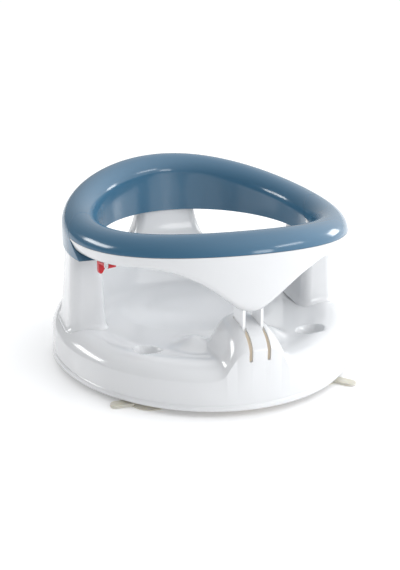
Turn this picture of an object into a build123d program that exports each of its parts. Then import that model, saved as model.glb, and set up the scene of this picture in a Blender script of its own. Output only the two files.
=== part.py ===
from build123d import *
import math
import os

# Baby bath seat. The floor is z = 0, the front bar faces -Y and the backrest is at +Y.
# All sizes are in millimetres.

# Base
FLOOR_GAP = 7.0
BASE_HALF_WIDTH = 170.0
BASE_FRONT = 194.0
BASE_REAR = 165.0
BASE_WALL = 2.8
BASE_BAND_PROUD = 1.2
BASE_BAND_HEIGHT = 6.0
RIM_Z = 52.0
RIM_OUTER = 25.0
RIM_INNER = 48.0
DECK_Z = 48.0
SHOULDER_RADIUS = 22.0

# Seat back: height above the deck and how far its outer and inner faces stand off the crest line
BACK_HALF_WIDTH = 130.0
BACK_DEPTH = 128.0
BACK_RISE = 50.0
BACK_START_Y = 8.0
BACK_END_Y = 130.0
BACK_ROOT = 4.0
BACK_FLARE = ((0.0, 22.0, 27.0), (16.0, 13.5, 12.0), (50.0, 5.0, 4.0))

# Bowl: depth under the deck and the half width and half length there
BOWL_SHIFT = 2.0
BOWL_LEVELS = ((9.0, 40.0, 35.0), (6.0, 66.0, 58.0), (0.0, 91.0, 80.0))

# Front hump
HUMP_RISE = 41.0
HUMP_FRONT_TOP_Y = -135.5
HUMP_FRONT_LENGTH = 43.5
HUMP_REAR_TOP_Y = -123.5
HUMP_REAR_END_Y = -71.5
HUMP_ARCH_Z = 91.0
HUMP_ARCH_FOOT = 41.0
HUMP_ARCH_MIDDLE = 36.0
HUMP_ARCH_MIDDLE_Z = 57.0
HUMP_ARCH_LEAN = 0.286
HUMP_ARCH_RADIUS = 18.0
HUMP_ROOT = 8.0
LOBE_PLACE = (40.0, -97.5)
LOBE_SIZE = (24.0, 28.0, 9.0)

# Drain sockets in the deck
DIMPLE_X = 92.0
DIMPLE_Y = -95.5
DIMPLE_TOP_RADIUS = 14.0
DIMPLE_FLOOR_RADIUS = 8.0
DIMPLE_DEPTH = 15.0
DIMPLE_RIM_Z = 48.0

# Ring
RING_HALF_WIDTH = 135.7
RING_FRONT = 148.6
RING_BACK = 158.9
RING_CENTRE_Y = -5.4
RING_SIDE_Z = 154.7
RING_TILT = 10.3
RING_DISH = 19.4
RING_RIM_Z = 137.0
TUBE_RADIUS = 20.1
RING_WALL = 2.6
RING_START = -28.0
RING_STATIONS = 19
RING_RIM_OVERRUN = 5.0

# Front bar
BAR_START = 172.0
BAR_STATIONS = 31
SEAM_LIFT = 2.0
APRON_TIP_Z = 100.0
APRON_RISE = 41.5
APRON_SPREAD = 50.0
APRON_TAPER = 0.254
APRON_LEAN = 0.06
APRON_CORNER = 9.0
APRON_END_CORNER = 11.0
BAR_WALL = 2.6
SEAM_GAP = 0.6
BAR_TOP_OVERRUN = 6.0
CAP_OVERRUN = 2.0
CAP_GAP = 0.1
BAR_BOSS_ANGLES = (222.0, 243.0, 297.0, 333.0)
BAR_HEAD_DEPTH = 3.0
STEM_SCREW_LENGTH = 5.0

# Hinge of the bar
HINGE_Y = -151.5
HINGE_Z = 63.0
SEAM_ANGLE = 36.0
PIN_RADIUS = 2.5
PIN_LENGTH = 56.0
RUNNING_GAP = 0.05

# Stem under the apron
CHEEK_X = 9.5
CHEEK_THICKNESS = 2.8
CHEEK_FRONT = 5.5
CHEEK_REAR = 20.5
CHEEK_SHOULDER_Z = 95.0
CHEEK_TOP_Z = 112.0
CHEEK_HEEL = 5.0
TONGUE_FRONT = 1.0
TONGUE_REAR = 13.0
HUB_RADIUS = 9.0
WEB_THICKNESS = 2.8
STEM_FLANGE_Z = 112.0
STEM_FLANGE_HALF_WIDTH = 22.5
STEM_FLANGE_THICKNESS = 3.0
SLOT_GAP = 0.5
SLOT_FLOOR_Z = 59.0
SLOT_END_GAP = 1.5
STEM_CLEARANCE = 0.4

# Hinge block
DRUM_RADIUS = 17.0
DRUM_GAP = 0.5
DRUM_WIDTH = 2.2
LUG_WIDTH = 11.0
LUG_RADIUS = 7.0
BLOCK_PLATE_Z = 40.0
BLOCK_PLATE_THICKNESS = 3.5
BLOCK_PLATE_DEPTH = 40.0
HINGE_BOSS_Y = 15.0

# Screws
SCREW_RADIUS = 1.6
SCREW_HEAD_RADIUS = 3.2
SCREW_HEAD_HEIGHT = 2.2
SCREW_HOLE_GAP = 0.2
PILOT_GAP = 0.05
BOSS_RADIUS = 4.6
BOSS_RIB = 2.0
POST_BOSS_DEPTH = 8.0
POST_SCREW_LENGTH = 20.0

# Side posts: (height, inner x, outer x, front y, back y) at the foot and at the top
POST_FOOT = (45.0, 116.0, 157.5, -22.0, 44.0)
POST_TOP = (145.0, 118.2, 151.8, -20.0, 38.0)
POST_FOOT_BOW = 1.0
POST_CORNER = 12.0
POST_WALL = 2.6
POST_SEAT_GAP = 0.15
POST_PLATE = 3.0
POST_BOSS_HEIGHT = 22.0
POST_SCREW_X = 136.0
POST_SCREW_Y = (-6.0, 28.0)
RING_SCREW_Y = 9.0

# Rear post: (height, width, depth) stations
REAR_POST_Y = 151.0
REAR_POST_STATIONS = ((60.0, 138.0, 46.0), (99.0, 97.0, 40.0), (116.0, 83.0, 34.0), (135.0, 74.0, 30.0),
                      (165.0, 69.0, 28.0))
REAR_POST_CORNER = 12.0
REAR_SCREW_X = 20.0

# Suction cups: name, x, y and the direction of the pull tab in degrees
CUPS = (("front_left_cup", -95.0, -115.5, 180.0), ("front_right_cup", 95.0, -115.5, -49.0),
        ("rear_left_cup", -92.0, 112.0, 150.0), ("rear_right_cup", 92.0, 112.0, 30.0))
CUP_RADIUS = 21.0
CUP_LIP = 1.2
CUP_NECK_RADIUS = 5.0
CUP_SHOULDER_RADIUS = 9.0
CUP_SHOULDER_Z = 12.7
CUP_HOLLOW = 6.0
CUP_HEAD_RADIUS = 6.4
CUP_HEAD_Z = 20.4
CUP_HEAD_TOP_Z = 27.0
CUP_HEAD_TOP_RADIUS = 4.0
CUP_BOSS_RADIUS = 10.0
CUP_BOSS_Z = 13.0
CUP_LEDGE_Z = 20.0
CUP_CHAMBER_TOP_Z = 30.0
CUP_CHAMBER_RADIUS = 7.2
CUP_FIT = 0.3
TAB_REACH = 42.5
TAB_WIDTH = 12.0
TAB_THICKNESS = 3.0
TAB_Z = 2.2

# Release lever
LEVER_PIVOT_ANGLE = 206.0
LEVER_TIP_ANGLE = 197.5
LEVER_Z = 136.4
LEVER_WIDTH = 9.0
LEVER_THICKNESS = 2.4
LEVER_HUB_RADIUS = 2.7
LEVER_REACH = 19.5
LEVER_TAB_THICKNESS = 3.2
LEVER_TAB_DROP = 15.0
LEVER_TAB_RISE = 6.0
LEVER_TAB_CORNER = 2.2
LEVER_PIN_RADIUS = 1.25
LEVER_SIDE_GAP = 0.4
LEVER_LUG_THICKNESS = 2.2
LEVER_LUG_RADIUS = 3.2
SPRING_PLACE = 10.0
SPRING_RADIUS = 2.6
SPRING_WIRE_RADIUS = 0.3
SPRING_TURNS = 3
SPRING_END_GAP = 0.05

BASE_CENTRE_Y = (BASE_FRONT - BASE_REAR) / 2
UP = Vector(0, 0, 1)


def plan_face(inset, z):
    """The base's outline: a half ellipse in front and a shorter one behind."""
    centre = (0, BASE_CENTRE_Y)
    width = BASE_HALF_WIDTH - inset
    front = EllipticalCenterArc(centre, width, BASE_FRONT - inset, start_angle=180, arc_size=180)
    rear = EllipticalCenterArc(centre, width, BASE_REAR - inset, start_angle=0, arc_size=180)
    return Pos(0, 0, z) * make_face(front + rear)


def upright(radius, x, y, bottom, top):
    """A vertical cylinder."""
    return Pos(x, y, bottom) * Cylinder(radius, top - bottom, align=(Align.CENTER, Align.CENTER, Align.MIN))


def crosswise(radius, left, right, y, z):
    """A cylinder along X."""
    middle = Pos((left + right) / 2, y, z)
    return middle * Rot(0, 90, 0) * Cylinder(radius, right - left)


def block(x_range, y_range, z_range):
    """A box from its limits."""
    sizes = [limits[1] - limits[0] for limits in (x_range, y_range, z_range)]
    middle = [(limits[1] + limits[0]) / 2 for limits in (x_range, y_range, z_range)]
    return Pos(*middle) * Box(*sizes)


def screw(x, y, head_z, tip_z):
    """A pan-head screw along Z with its head's bearing face at head_z."""
    head = SCREW_HEAD_HEIGHT if head_z > tip_z else -SCREW_HEAD_HEIGHT
    low, high = sorted((head_z, tip_z))
    shank = upright(SCREW_RADIUS, x, y, low, high)
    cap_low, cap_high = sorted((head_z, head_z + head))
    return shank + upright(SCREW_HEAD_RADIUS, x, y, cap_low, cap_high)


def post_screw_places():
    """Places of the screws that hold the posts' feet, with the deck's height over each."""
    side = [(sign * POST_SCREW_X, y) for sign in (-1, 1) for y in POST_SCREW_Y]
    rear = [(sign * REAR_SCREW_X, BASE_CENTRE_Y + BACK_DEPTH) for sign in (-1, 1)]
    return side + rear


def screw_seat(x):
    """Height of the flat underside of a post's screw boss."""
    top = RIM_Z if abs(x) > REAR_SCREW_X + 1 else DECK_Z + BACK_RISE
    return top - POST_BOSS_DEPTH


def ring_screw_places():
    """Places of the screws that hold the ring, with the height of the post's top."""
    side = [(sign * POST_SCREW_X, RING_SCREW_Y, POST_TOP[0]) for sign in (-1, 1)]
    rear = [(sign * REAR_SCREW_X, REAR_POST_Y, REAR_POST_STATIONS[-1][0]) for sign in (-1, 1)]
    return side + rear


def dimples(wall):
    """The two conical sockets, or with a wall the material around them."""
    floor = DIMPLE_RIM_Z - DIMPLE_DEPTH
    over = RIM_Z - DIMPLE_RIM_Z
    slope = (DIMPLE_TOP_RADIUS - DIMPLE_FLOOR_RADIUS) / DIMPLE_DEPTH
    low, high = floor - wall, RIM_Z
    side = wall * math.sqrt(1 + slope ** 2)
    cone = Cone(DIMPLE_FLOOR_RADIUS + side - wall * slope, DIMPLE_TOP_RADIUS + side + over * slope, high - low)
    return [Pos(sign * DIMPLE_X, DIMPLE_Y, (low + high) / 2) * cone for sign in (-1, 1)]


def hinge_boss_places():
    """Places of the four screws that hold the hinge block."""
    middle = slot_edges()[1] + DRUM_GAP + DRUM_WIDTH + LUG_WIDTH / 2
    return [(sign * middle, HINGE_Y + shift) for sign in (-1, 1) for shift in (-HINGE_BOSS_Y, HINGE_BOSS_Y)]


def oval(half_width, half_length, shift, z):
    """An elliptical face centred on the base."""
    return Pos(0, BASE_CENTRE_Y + shift, z) * make_face(Ellipse(half_width, half_length).edges())


def plain_form(inset):
    """The base without its swellings: an elliptical block with a rounded shoulder."""
    low = FLOOR_GAP if inset == 0 else FLOOR_GAP - 1
    block_form = extrude(plan_face(BASE_BAND_PROUD + inset, low), amount=RIM_Z - inset - low)
    return fillet(block_form.edges().group_by(Axis.Z)[-1], SHOULDER_RADIUS - inset)


def deck_recess(drop):
    """The shallow recess of the deck inside its rim, moved down by drop."""
    recess = loft([plan_face(RIM_INNER, DECK_Z - drop), plan_face(RIM_OUTER, RIM_Z - drop)], ruled=True)
    return recess + extrude(plan_face(RIM_OUTER, RIM_Z - drop), amount=drop + 1)


def back_form(inset):
    """The seat back: a flared elliptical ridge whose top climbs along a smooth curve."""
    outer = []
    inner = []
    for rise, out, inwards in BACK_FLARE:
        z = DECK_Z + rise
        outer.append(oval(BACK_HALF_WIDTH + out - inset, BACK_DEPTH + out - inset, 0, z))
        inner.append(oval(BACK_HALF_WIDTH - inwards + inset, BACK_DEPTH - inwards + inset, 0, z))
    ridge = loft(outer) - loft(inner)
    low, high = DECK_Z - inset, DECK_Z + BACK_RISE - inset
    far = BASE_CENTRE_Y + BASE_REAR
    outline = Line((BACK_START_Y, low - BACK_ROOT), (BACK_START_Y, low))
    outline += Spline((BACK_START_Y, low), (BACK_END_Y, high), tangents=((1, 0), (1, 0)))
    outline += Polyline((BACK_END_Y, high), (far, high), (far, low - BACK_ROOT),
                        (BACK_START_Y, low - BACK_ROOT))
    under = extrude(Plane.YZ * make_face(outline), amount=BASE_HALF_WIDTH, both=True)
    root = extrude(oval(BACK_HALF_WIDTH + BACK_FLARE[0][1] - inset, BACK_DEPTH + BACK_FLARE[0][1] - inset, 0,
                        DECK_Z - BACK_ROOT), amount=BACK_ROOT)
    root -= extrude(oval(BACK_HALF_WIDTH - BACK_FLARE[0][2] + inset, BACK_DEPTH - BACK_FLARE[0][2] + inset, 0,
                         DECK_Z - BACK_ROOT), amount=BACK_ROOT)
    return (ridge + root) & under


def bowl(extra):
    """The hollow that the child sits in, grown by extra."""
    levels = [oval(width + extra, length + extra, BOWL_SHIFT, DECK_Z - depth - extra)
              for depth, width, length in BOWL_LEVELS]
    return loft(levels) + extrude(levels[-1], amount=extra + 1)


def hump(inset):
    """The front hump: a crest profile across the base, cut to an arch along it."""
    rise, length = HUMP_RISE - inset, HUMP_FRONT_LENGTH - inset
    low, top = DECK_Z - HUMP_ROOT, DECK_Z + rise
    front, rear = HUMP_FRONT_TOP_Y - length, HUMP_REAR_END_Y - inset
    outline = Line((HUMP_REAR_TOP_Y, top), (HUMP_FRONT_TOP_Y, top))
    outline += EllipticalCenterArc((HUMP_FRONT_TOP_Y, DECK_Z), length, rise, start_angle=90, arc_size=90)
    outline += Polyline((front, DECK_Z), (front, low), (rear, low), (rear, DECK_Z))
    outline += Spline((rear, DECK_Z), (HUMP_REAR_TOP_Y, top), tangents=((-1, 0), (-1, 0)))
    crest = extrude(Plane.YZ * make_face(outline), amount=HUMP_ARCH_FOOT + HUMP_ROOT, both=True)
    high = HUMP_ARCH_Z - inset
    shoulder = HUMP_ARCH_MIDDLE - inset - HUMP_ARCH_LEAN * (high - HUMP_ARCH_MIDDLE_Z)
    half = [(HUMP_ARCH_FOOT - inset, low), (HUMP_ARCH_MIDDLE - inset, HUMP_ARCH_MIDDLE_Z), (shoulder, high)]
    points = half + [(-x, z) for x, z in reversed(half)]
    arch = make_face(Polyline(*points, close=True))
    upper = arch.vertices().sort_by(Axis.Y)[-2:]
    arch = fillet(upper, HUMP_ARCH_RADIUS - inset)
    arch = extrude(Plane.XZ * arch, amount=BASE_FRONT)
    reach = extrude(plan_face(BASE_BAND_PROUD + inset, low), amount=HUMP_ARCH_Z)
    return crest & arch & reach


def lobes(inset):
    """The low swelling on each side of the hump's rear."""
    x, y = LOBE_PLACE
    sizes = [size - inset for size in LOBE_SIZE]
    dome = scale(Sphere(1), by=tuple(sizes))
    return [Pos(sign * x, y, DECK_Z - inset) * dome for sign in (-1, 1)]


def base_outside():
    """The base's outer form as one solid."""
    form = plain_form(0) - deck_recess(0)
    form += back_form(0)
    form -= bowl(0)
    form += hump(0)
    form += lobes(0)
    return form


def base_inside():
    """The hollow under the base, a wall's thickness inside its outer form."""
    form = plain_form(BASE_WALL) - deck_recess(BASE_WALL)
    form += back_form(BASE_WALL)
    form -= bowl(BASE_WALL)
    return form + hump(BASE_WALL)


def base_shell(outside):
    """The white base: an elliptical shell with its bosses left standing inside."""
    band_top = FLOOR_GAP + BASE_BAND_HEIGHT
    high = DECK_Z + BACK_RISE + HUMP_RISE
    band = loft([plan_face(0, FLOOR_GAP), plan_face(0, band_top - BASE_BAND_PROUD),
                 plan_face(BASE_BAND_PROUD, band_top)], ruled=True)
    cavity = base_inside()
    for _, x, y, _ in CUPS:
        cavity -= upright(CUP_BOSS_RADIUS, x, y, CUP_BOSS_Z, high)
    for x, y in hinge_boss_places():
        cavity -= upright(BOSS_RADIUS, x, y, BLOCK_PLATE_Z + BLOCK_PLATE_THICKNESS, high)
    cavity -= dimples(BASE_WALL)
    for x, y in post_screw_places():
        cavity -= upright(BOSS_RADIUS, x, y, screw_seat(x), high)
    shell = outside + band - cavity
    for _, x, y, _ in CUPS:
        shell -= upright(CUP_NECK_RADIUS + CUP_FIT, x, y, CUP_BOSS_Z - 1, CUP_LEDGE_Z + 1)
        shell -= upright(CUP_CHAMBER_RADIUS, x, y, CUP_LEDGE_Z, CUP_CHAMBER_TOP_Z)
    for x, y in hinge_boss_places():
        shell -= upright(SCREW_RADIUS + PILOT_GAP, x, y, BLOCK_PLATE_Z, HINGE_Z - 1)
    for x, y in post_screw_places():
        shell -= upright(SCREW_RADIUS + SCREW_HOLE_GAP, x, y, FLOOR_GAP, high)
        shell -= upright(SCREW_HEAD_RADIUS + SCREW_HOLE_GAP, x, y, FLOOR_GAP, screw_seat(x))
    shell -= dimples(0)
    for sign in (-1, 1):
        slot_x = sorted(sign * edge for edge in slot_edges())
        slot_y = (BASE_CENTRE_Y - BASE_FRONT - 1, HINGE_Y + CHEEK_REAR + SLOT_END_GAP)
        shell -= block(slot_x, slot_y, (SLOT_FLOOR_Z, high))
    return shell


def rear_plan(width, depth, corner, z):
    """A rounded rectangle at a height, as one station of the rear post."""
    return Pos(0, REAR_POST_Y, z) * RectangleRounded(width, depth, corner)


def side_bow(front, back):
    """How far the ring's outline bulges outwards between two places along Y."""
    ends = [ring_half_width(y) for y in (front, back)]
    return ring_half_width((front + back) / 2) - sum(ends) / 2


def ring_half_width(y):
    """Half the width of the ring's centre line at a place along Y."""
    along = y - RING_CENTRE_Y
    reach = RING_BACK if along >= 0 else RING_FRONT
    return RING_HALF_WIDTH * math.sqrt(1 - (along / reach) ** 2)


def post_plan(station, turn, bow, inset):
    """A bent, rounded section of the left post: its long sides follow the ring."""
    z, inner, outer, front, back = station
    front, back = front + inset, back - inset
    middle = (front + back) / 2
    sides = []
    for x, sign in ((-(outer - inset), -1), (-(inner + inset), 1)):
        sides.append(((x, front), (x + turn / 2 - bow, middle), (x + turn, back)))
    (left_front, left_middle, left_back), (right_front, right_middle, right_back) = sides
    outline = ThreePointArc(left_front, left_middle, left_back) + Line(left_back, right_back)
    outline += ThreePointArc(right_back, right_middle, right_front)
    outline += Line(right_front, left_front)
    face = make_face(outline)
    return Pos(0, 0, z) * fillet(face.vertices(), POST_CORNER - inset)


def side_post(base):
    """The hollow left post, bent like the ring above it, with its foot cut to the base."""
    front, back = POST_TOP[3], POST_TOP[4]
    turn = ring_half_width(front) - ring_half_width(back)
    bow = side_bow(front, back)
    outer = loft([post_plan(POST_FOOT, 0, POST_FOOT_BOW, 0), post_plan(POST_TOP, turn, bow, 0)], ruled=True)
    low = (POST_FOOT[0] - 1,) + POST_FOOT[1:]
    high = (POST_TOP[0] - POST_PLATE,) + POST_TOP[1:]
    ends = [post_plan(low, 0, POST_FOOT_BOW, POST_WALL), post_plan(high, turn, bow, POST_WALL)]
    hollow = loft(ends, ruled=True)
    feet = [(-POST_SCREW_X, y) for y in POST_SCREW_Y]
    heads = [(-POST_SCREW_X, RING_SCREW_Y, POST_TOP[0])]
    rib = block((-POST_SCREW_X - BOSS_RIB / 2, -POST_SCREW_X + BOSS_RIB / 2), (POST_FOOT[3], POST_FOOT[4]),
                (FLOOR_GAP, DECK_Z + POST_BOSS_HEIGHT))
    return finish_post(outer, hollow - rib, feet, heads, base, DECK_Z + POST_BOSS_HEIGHT)


def rear_post(base):
    """The wide rear post, which flares down into the seat back."""
    stations = REAR_POST_STATIONS
    outer = loft([rear_plan(width, depth, REAR_POST_CORNER, z) for z, width, depth in stations])
    trim = 2 * POST_WALL
    hollow_stations = [(z, width - trim, depth - trim) for z, width, depth in stations[:-1]]
    top = stations[-1]
    hollow_stations.append((top[0] - POST_PLATE, top[1] - trim, top[2] - trim))
    corner = REAR_POST_CORNER - POST_WALL
    hollow = loft([rear_plan(width, depth, corner, z) for z, width, depth in hollow_stations])
    feet = [place for place in post_screw_places() if abs(place[0]) < REAR_SCREW_X + 1]
    heads = [place for place in ring_screw_places() if abs(place[0]) < REAR_SCREW_X + 1]
    boss_top = DECK_Z + BACK_RISE + POST_BOSS_HEIGHT
    reach = stations[0][2] / 2
    for x, y in feet:
        hollow -= block((x - BOSS_RIB / 2, x + BOSS_RIB / 2), (y - reach, y + reach), (FLOOR_GAP, boss_top))
    return finish_post(outer, hollow, feet, heads, base, boss_top)


def finish_post(outer, hollow, feet, heads, base, boss_top):
    """Hollows a post, leaves its screw bosses standing and cuts its foot to the base."""
    for x, y in feet:
        hollow -= upright(BOSS_RADIUS, x, y, FLOOR_GAP, boss_top)
    post = outer - hollow - Pos(0, 0, POST_SEAT_GAP) * base
    for x, y in feet:
        post -= upright(SCREW_RADIUS + PILOT_GAP, x, y, FLOOR_GAP, boss_top - POST_PLATE)
    for x, y, z in heads:
        post -= upright(SCREW_RADIUS + SCREW_HOLE_GAP, x, y, z - POST_PLATE - 1, z + 1)
    return post


def ring_point(angle):
    """A point of the ring's centre line, with the angle taken from +X towards the back."""
    across, along = math.cos(math.radians(angle)), math.sin(math.radians(angle))
    reach = RING_BACK if along >= 0 else RING_FRONT
    height = RING_SIDE_Z + RING_TILT * along + RING_DISH * along ** 2
    return Vector(RING_HALF_WIDTH * across, RING_CENTRE_Y + reach * along, height)


def ring_plane(angle):
    """The upright plane across the ring, with its x axis pointing outwards."""
    across, along = math.cos(math.radians(angle)), math.sin(math.radians(angle))
    reach = RING_BACK if along >= 0 else RING_FRONT
    outwards = Vector(across / RING_HALF_WIDTH, along / reach, 0).normalized()
    return Plane(origin=ring_point(angle), x_dir=outwards, z_dir=outwards.cross(UP))


def arch_face(angle, radius, bottom):
    """A round-topped section: straight walls up from bottom and a half circle over them."""
    outline = Line((-radius, bottom), (-radius, 0))
    outline += ThreePointArc((-radius, 0), (0, radius), (radius, 0))
    outline += Line((radius, 0), (radius, bottom))
    outline += Line((radius, bottom), (-radius, bottom))
    return ring_plane(angle) * make_face(outline)


def apron_bottom(x):
    """Height of the apron's underside: lowest in the middle, level towards the ends."""
    return APRON_TIP_Z + APRON_RISE * (1 - math.exp(-((x / APRON_SPREAD) ** 2)))


def apron_face(angle, inset, overrun):
    """A section of the apron: tapered front wall, leaning rear wall and rounded lower corners."""
    centre = ring_point(angle)
    low = apron_bottom(centre.X) - centre.Z + inset
    top = SEAM_LIFT + overrun
    half = TUBE_RADIUS - inset
    front_low = half - APRON_TAPER * (SEAM_LIFT - low)
    rear_low = -half - APRON_LEAN * (SEAM_LIFT - low)
    share = abs(centre.X) / RING_HALF_WIDTH
    corner = APRON_CORNER + (APRON_END_CORNER - APRON_CORNER) * share - inset
    outline = make_face(Polyline((-half, top), (rear_low, low), (front_low, low), (half, top), close=True))
    lower = outline.vertices().sort_by(Axis.Y)[:2]
    return ring_plane(angle) * fillet(lower, corner)


def angles(start, end, count):
    """Evenly spaced angles from start to end."""
    return [start + (end - start) * i / (count - 1) for i in range(count)]


def seam_plane():
    """The plane through the hinge axis that parts the bar's ends from the ring's ends."""
    tilt = math.radians(SEAM_ANGLE)
    return Plane(origin=(0, HINGE_Y, HINGE_Z), x_dir=(1, 0, 0), z_dir=(0, -math.sin(tilt), math.cos(tilt)))


def beyond_seam(above, offset):
    """The space above or below the seam plane behind the hinge, with its face moved by offset."""
    reach, depth = 400.0, 170.0
    middle = offset + (depth / 2 if above else -depth / 2)
    return seam_plane() * Pos(0, reach / 2, middle) * Box(reach, reach, depth)


def ring_shell():
    """The blue ring: an open-bottomed tube shell with a wall at each front end."""
    stops = angles(RING_START, 180 - RING_START, RING_STATIONS)
    outer = loft([arch_face(angle, TUBE_RADIUS, RING_RIM_Z - ring_point(angle).Z) for angle in stops])
    low = RING_RIM_Z - RING_RIM_OVERRUN
    hollow = loft([arch_face(angle, TUBE_RADIUS - RING_WALL, low - ring_point(angle).Z) for angle in stops])
    hollow -= beyond_seam(True, -SEAM_GAP / 2 - RING_WALL)
    for x, y, z in ring_screw_places():
        hollow -= upright(BOSS_RADIUS, x, y, z, z + 60)
    ring = outer - hollow - beyond_seam(True, -SEAM_GAP / 2)
    for x, y, z in ring_screw_places():
        ring -= upright(SCREW_RADIUS + PILOT_GAP, x, y, z - 1, z + 14)
    return ring


def bar_boss(angle):
    """A vertical boss through the bar at an angle."""
    centre = ring_point(angle)
    return upright(BOSS_RADIUS, centre.X, centre.Y, apron_bottom(centre.X), centre.Z + TUBE_RADIUS)


def bar_cap():
    """The blue top shell of the front bar."""
    stops = angles(BAR_START, 540 - BAR_START, BAR_STATIONS)
    outer = loft([cap_face(angle, TUBE_RADIUS, SEAM_LIFT + CAP_GAP) for angle in stops])
    hollow = loft([cap_face(angle, TUBE_RADIUS - BAR_WALL, SEAM_LIFT - CAP_OVERRUN) for angle in stops])
    hollow -= beyond_seam(False, SEAM_GAP / 2 + BAR_WALL)
    for angle in BAR_BOSS_ANGLES:
        hollow -= bar_boss(angle)
    cap = outer - hollow - beyond_seam(False, SEAM_GAP / 2)
    for angle in BAR_BOSS_ANGLES:
        centre = ring_point(angle)
        seam_z = centre.Z + SEAM_LIFT
        cap -= upright(SCREW_RADIUS + PILOT_GAP, centre.X, centre.Y, seam_z - 5, seam_z + 9)
    return cap


def cap_face(angle, radius, level):
    """The part of a circle above a level line."""
    half = math.sqrt(radius ** 2 - level ** 2)
    outline = ThreePointArc((-half, level), (0, radius), (half, level)) + Line((half, level), (-half, level))
    return ring_plane(angle) * make_face(outline)


def apron_solid():
    """The outer form of the bar's lower shell."""
    stops = angles(BAR_START, 540 - BAR_START, BAR_STATIONS)
    return loft([apron_face(angle, 0, 0) for angle in stops])


def bar_body(apron):
    """The white lower shell of the bar: an apron that deepens to a tip over the stem."""
    stops = angles(BAR_START, 540 - BAR_START, BAR_STATIONS)
    hollow = loft([apron_face(angle, BAR_WALL, BAR_TOP_OVERRUN) for angle in stops])
    hollow -= beyond_seam(False, SEAM_GAP / 2 + BAR_WALL)
    for angle in BAR_BOSS_ANGLES:
        hollow -= bar_boss(angle)
    for x, y in stem_screw_places():
        hollow -= upright(BOSS_RADIUS, x, y, APRON_TIP_Z, STEM_FLANGE_Z)
    body = apron - hollow - beyond_seam(False, SEAM_GAP / 2)
    half = CHEEK_X + CHEEK_THICKNESS / 2 + STEM_CLEARANCE
    hole_y = (HINGE_Y + TONGUE_FRONT - STEM_CLEARANCE, HINGE_Y + TONGUE_REAR + STEM_CLEARANCE)
    body -= block((-half, half), hole_y, (CHEEK_SHOULDER_Z, STEM_FLANGE_Z))
    for x, y in stem_screw_places():
        body -= upright(SCREW_RADIUS + PILOT_GAP, x, y, APRON_TIP_Z + STEM_SCREW_LENGTH, STEM_FLANGE_Z + 1)
    for angle in BAR_BOSS_ANGLES:
        centre = ring_point(angle)
        floor = apron_bottom(centre.X)
        under = floor - 5
        body -= upright(SCREW_RADIUS + SCREW_HOLE_GAP, centre.X, centre.Y, under, centre.Z + SEAM_LIFT + 5)
        seat = floor + BAR_HEAD_DEPTH
        body -= upright(SCREW_HEAD_RADIUS + SCREW_HOLE_GAP, centre.X, centre.Y, under, seat)
    for side in (-1, 1):
        body += lever_lug(side)
    return body


def stem_screw_places():
    """Places of the two screws in the stem's flange."""
    middle = HINGE_Y + (TONGUE_FRONT + TONGUE_REAR) / 2
    return [(sign * (STEM_FLANGE_HALF_WIDTH - BOSS_RADIUS - 1), middle) for sign in (-1, 1)]


def lever_plane():
    """The lever's own plane at its pivot: x runs back along the bar and y points outwards."""
    pivot, tip = ring_point(LEVER_PIVOT_ANGLE), ring_point(LEVER_TIP_ANGLE)
    along = Vector(tip.X - pivot.X, tip.Y - pivot.Y, 0).normalized()
    return Plane(origin=(pivot.X, pivot.Y, LEVER_Z), x_dir=along, z_dir=UP)


def lever_bar(radius, near, far):
    """A cylinder on the lever's pivot axis between two distances."""
    length = far - near
    return lever_plane() * Pos(0, (near + far) / 2, 0) * Rot(90, 0, 0) * Cylinder(radius, length)


def lever_block(x_range, y_range, z_range):
    """A box in the lever's plane."""
    return lever_plane() * block(x_range, y_range, z_range)


def lever_lug(side):
    """A lug under the bar that carries one end of the lever's pin."""
    near = LEVER_WIDTH / 2 + LEVER_SIDE_GAP
    limits = sorted((side * near, side * (near + LEVER_LUG_THICKNESS)))
    top = apron_bottom(ring_point(LEVER_PIVOT_ANGLE).X) + BAR_WALL / 2 - LEVER_Z
    lug = lever_block((-LEVER_LUG_RADIUS, LEVER_LUG_RADIUS), limits, (0, top))
    lug += lever_bar(LEVER_LUG_RADIUS, limits[0], limits[1])
    return lug - lever_bar(LEVER_PIN_RADIUS + RUNNING_GAP, limits[0] - 1, limits[1] + 1)


def stem_side(front, rear, low, high):
    """The outline of a cheek: it narrows downwards to the hub's heel."""
    side = Polyline((front, high), (front, HINGE_Z), (HINGE_Y, low), (HINGE_Y + HUB_RADIUS, HINGE_Z),
                    (rear, CHEEK_SHOULDER_Z), (rear, high), close=True)
    return Plane.YZ * make_face(side)


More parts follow.
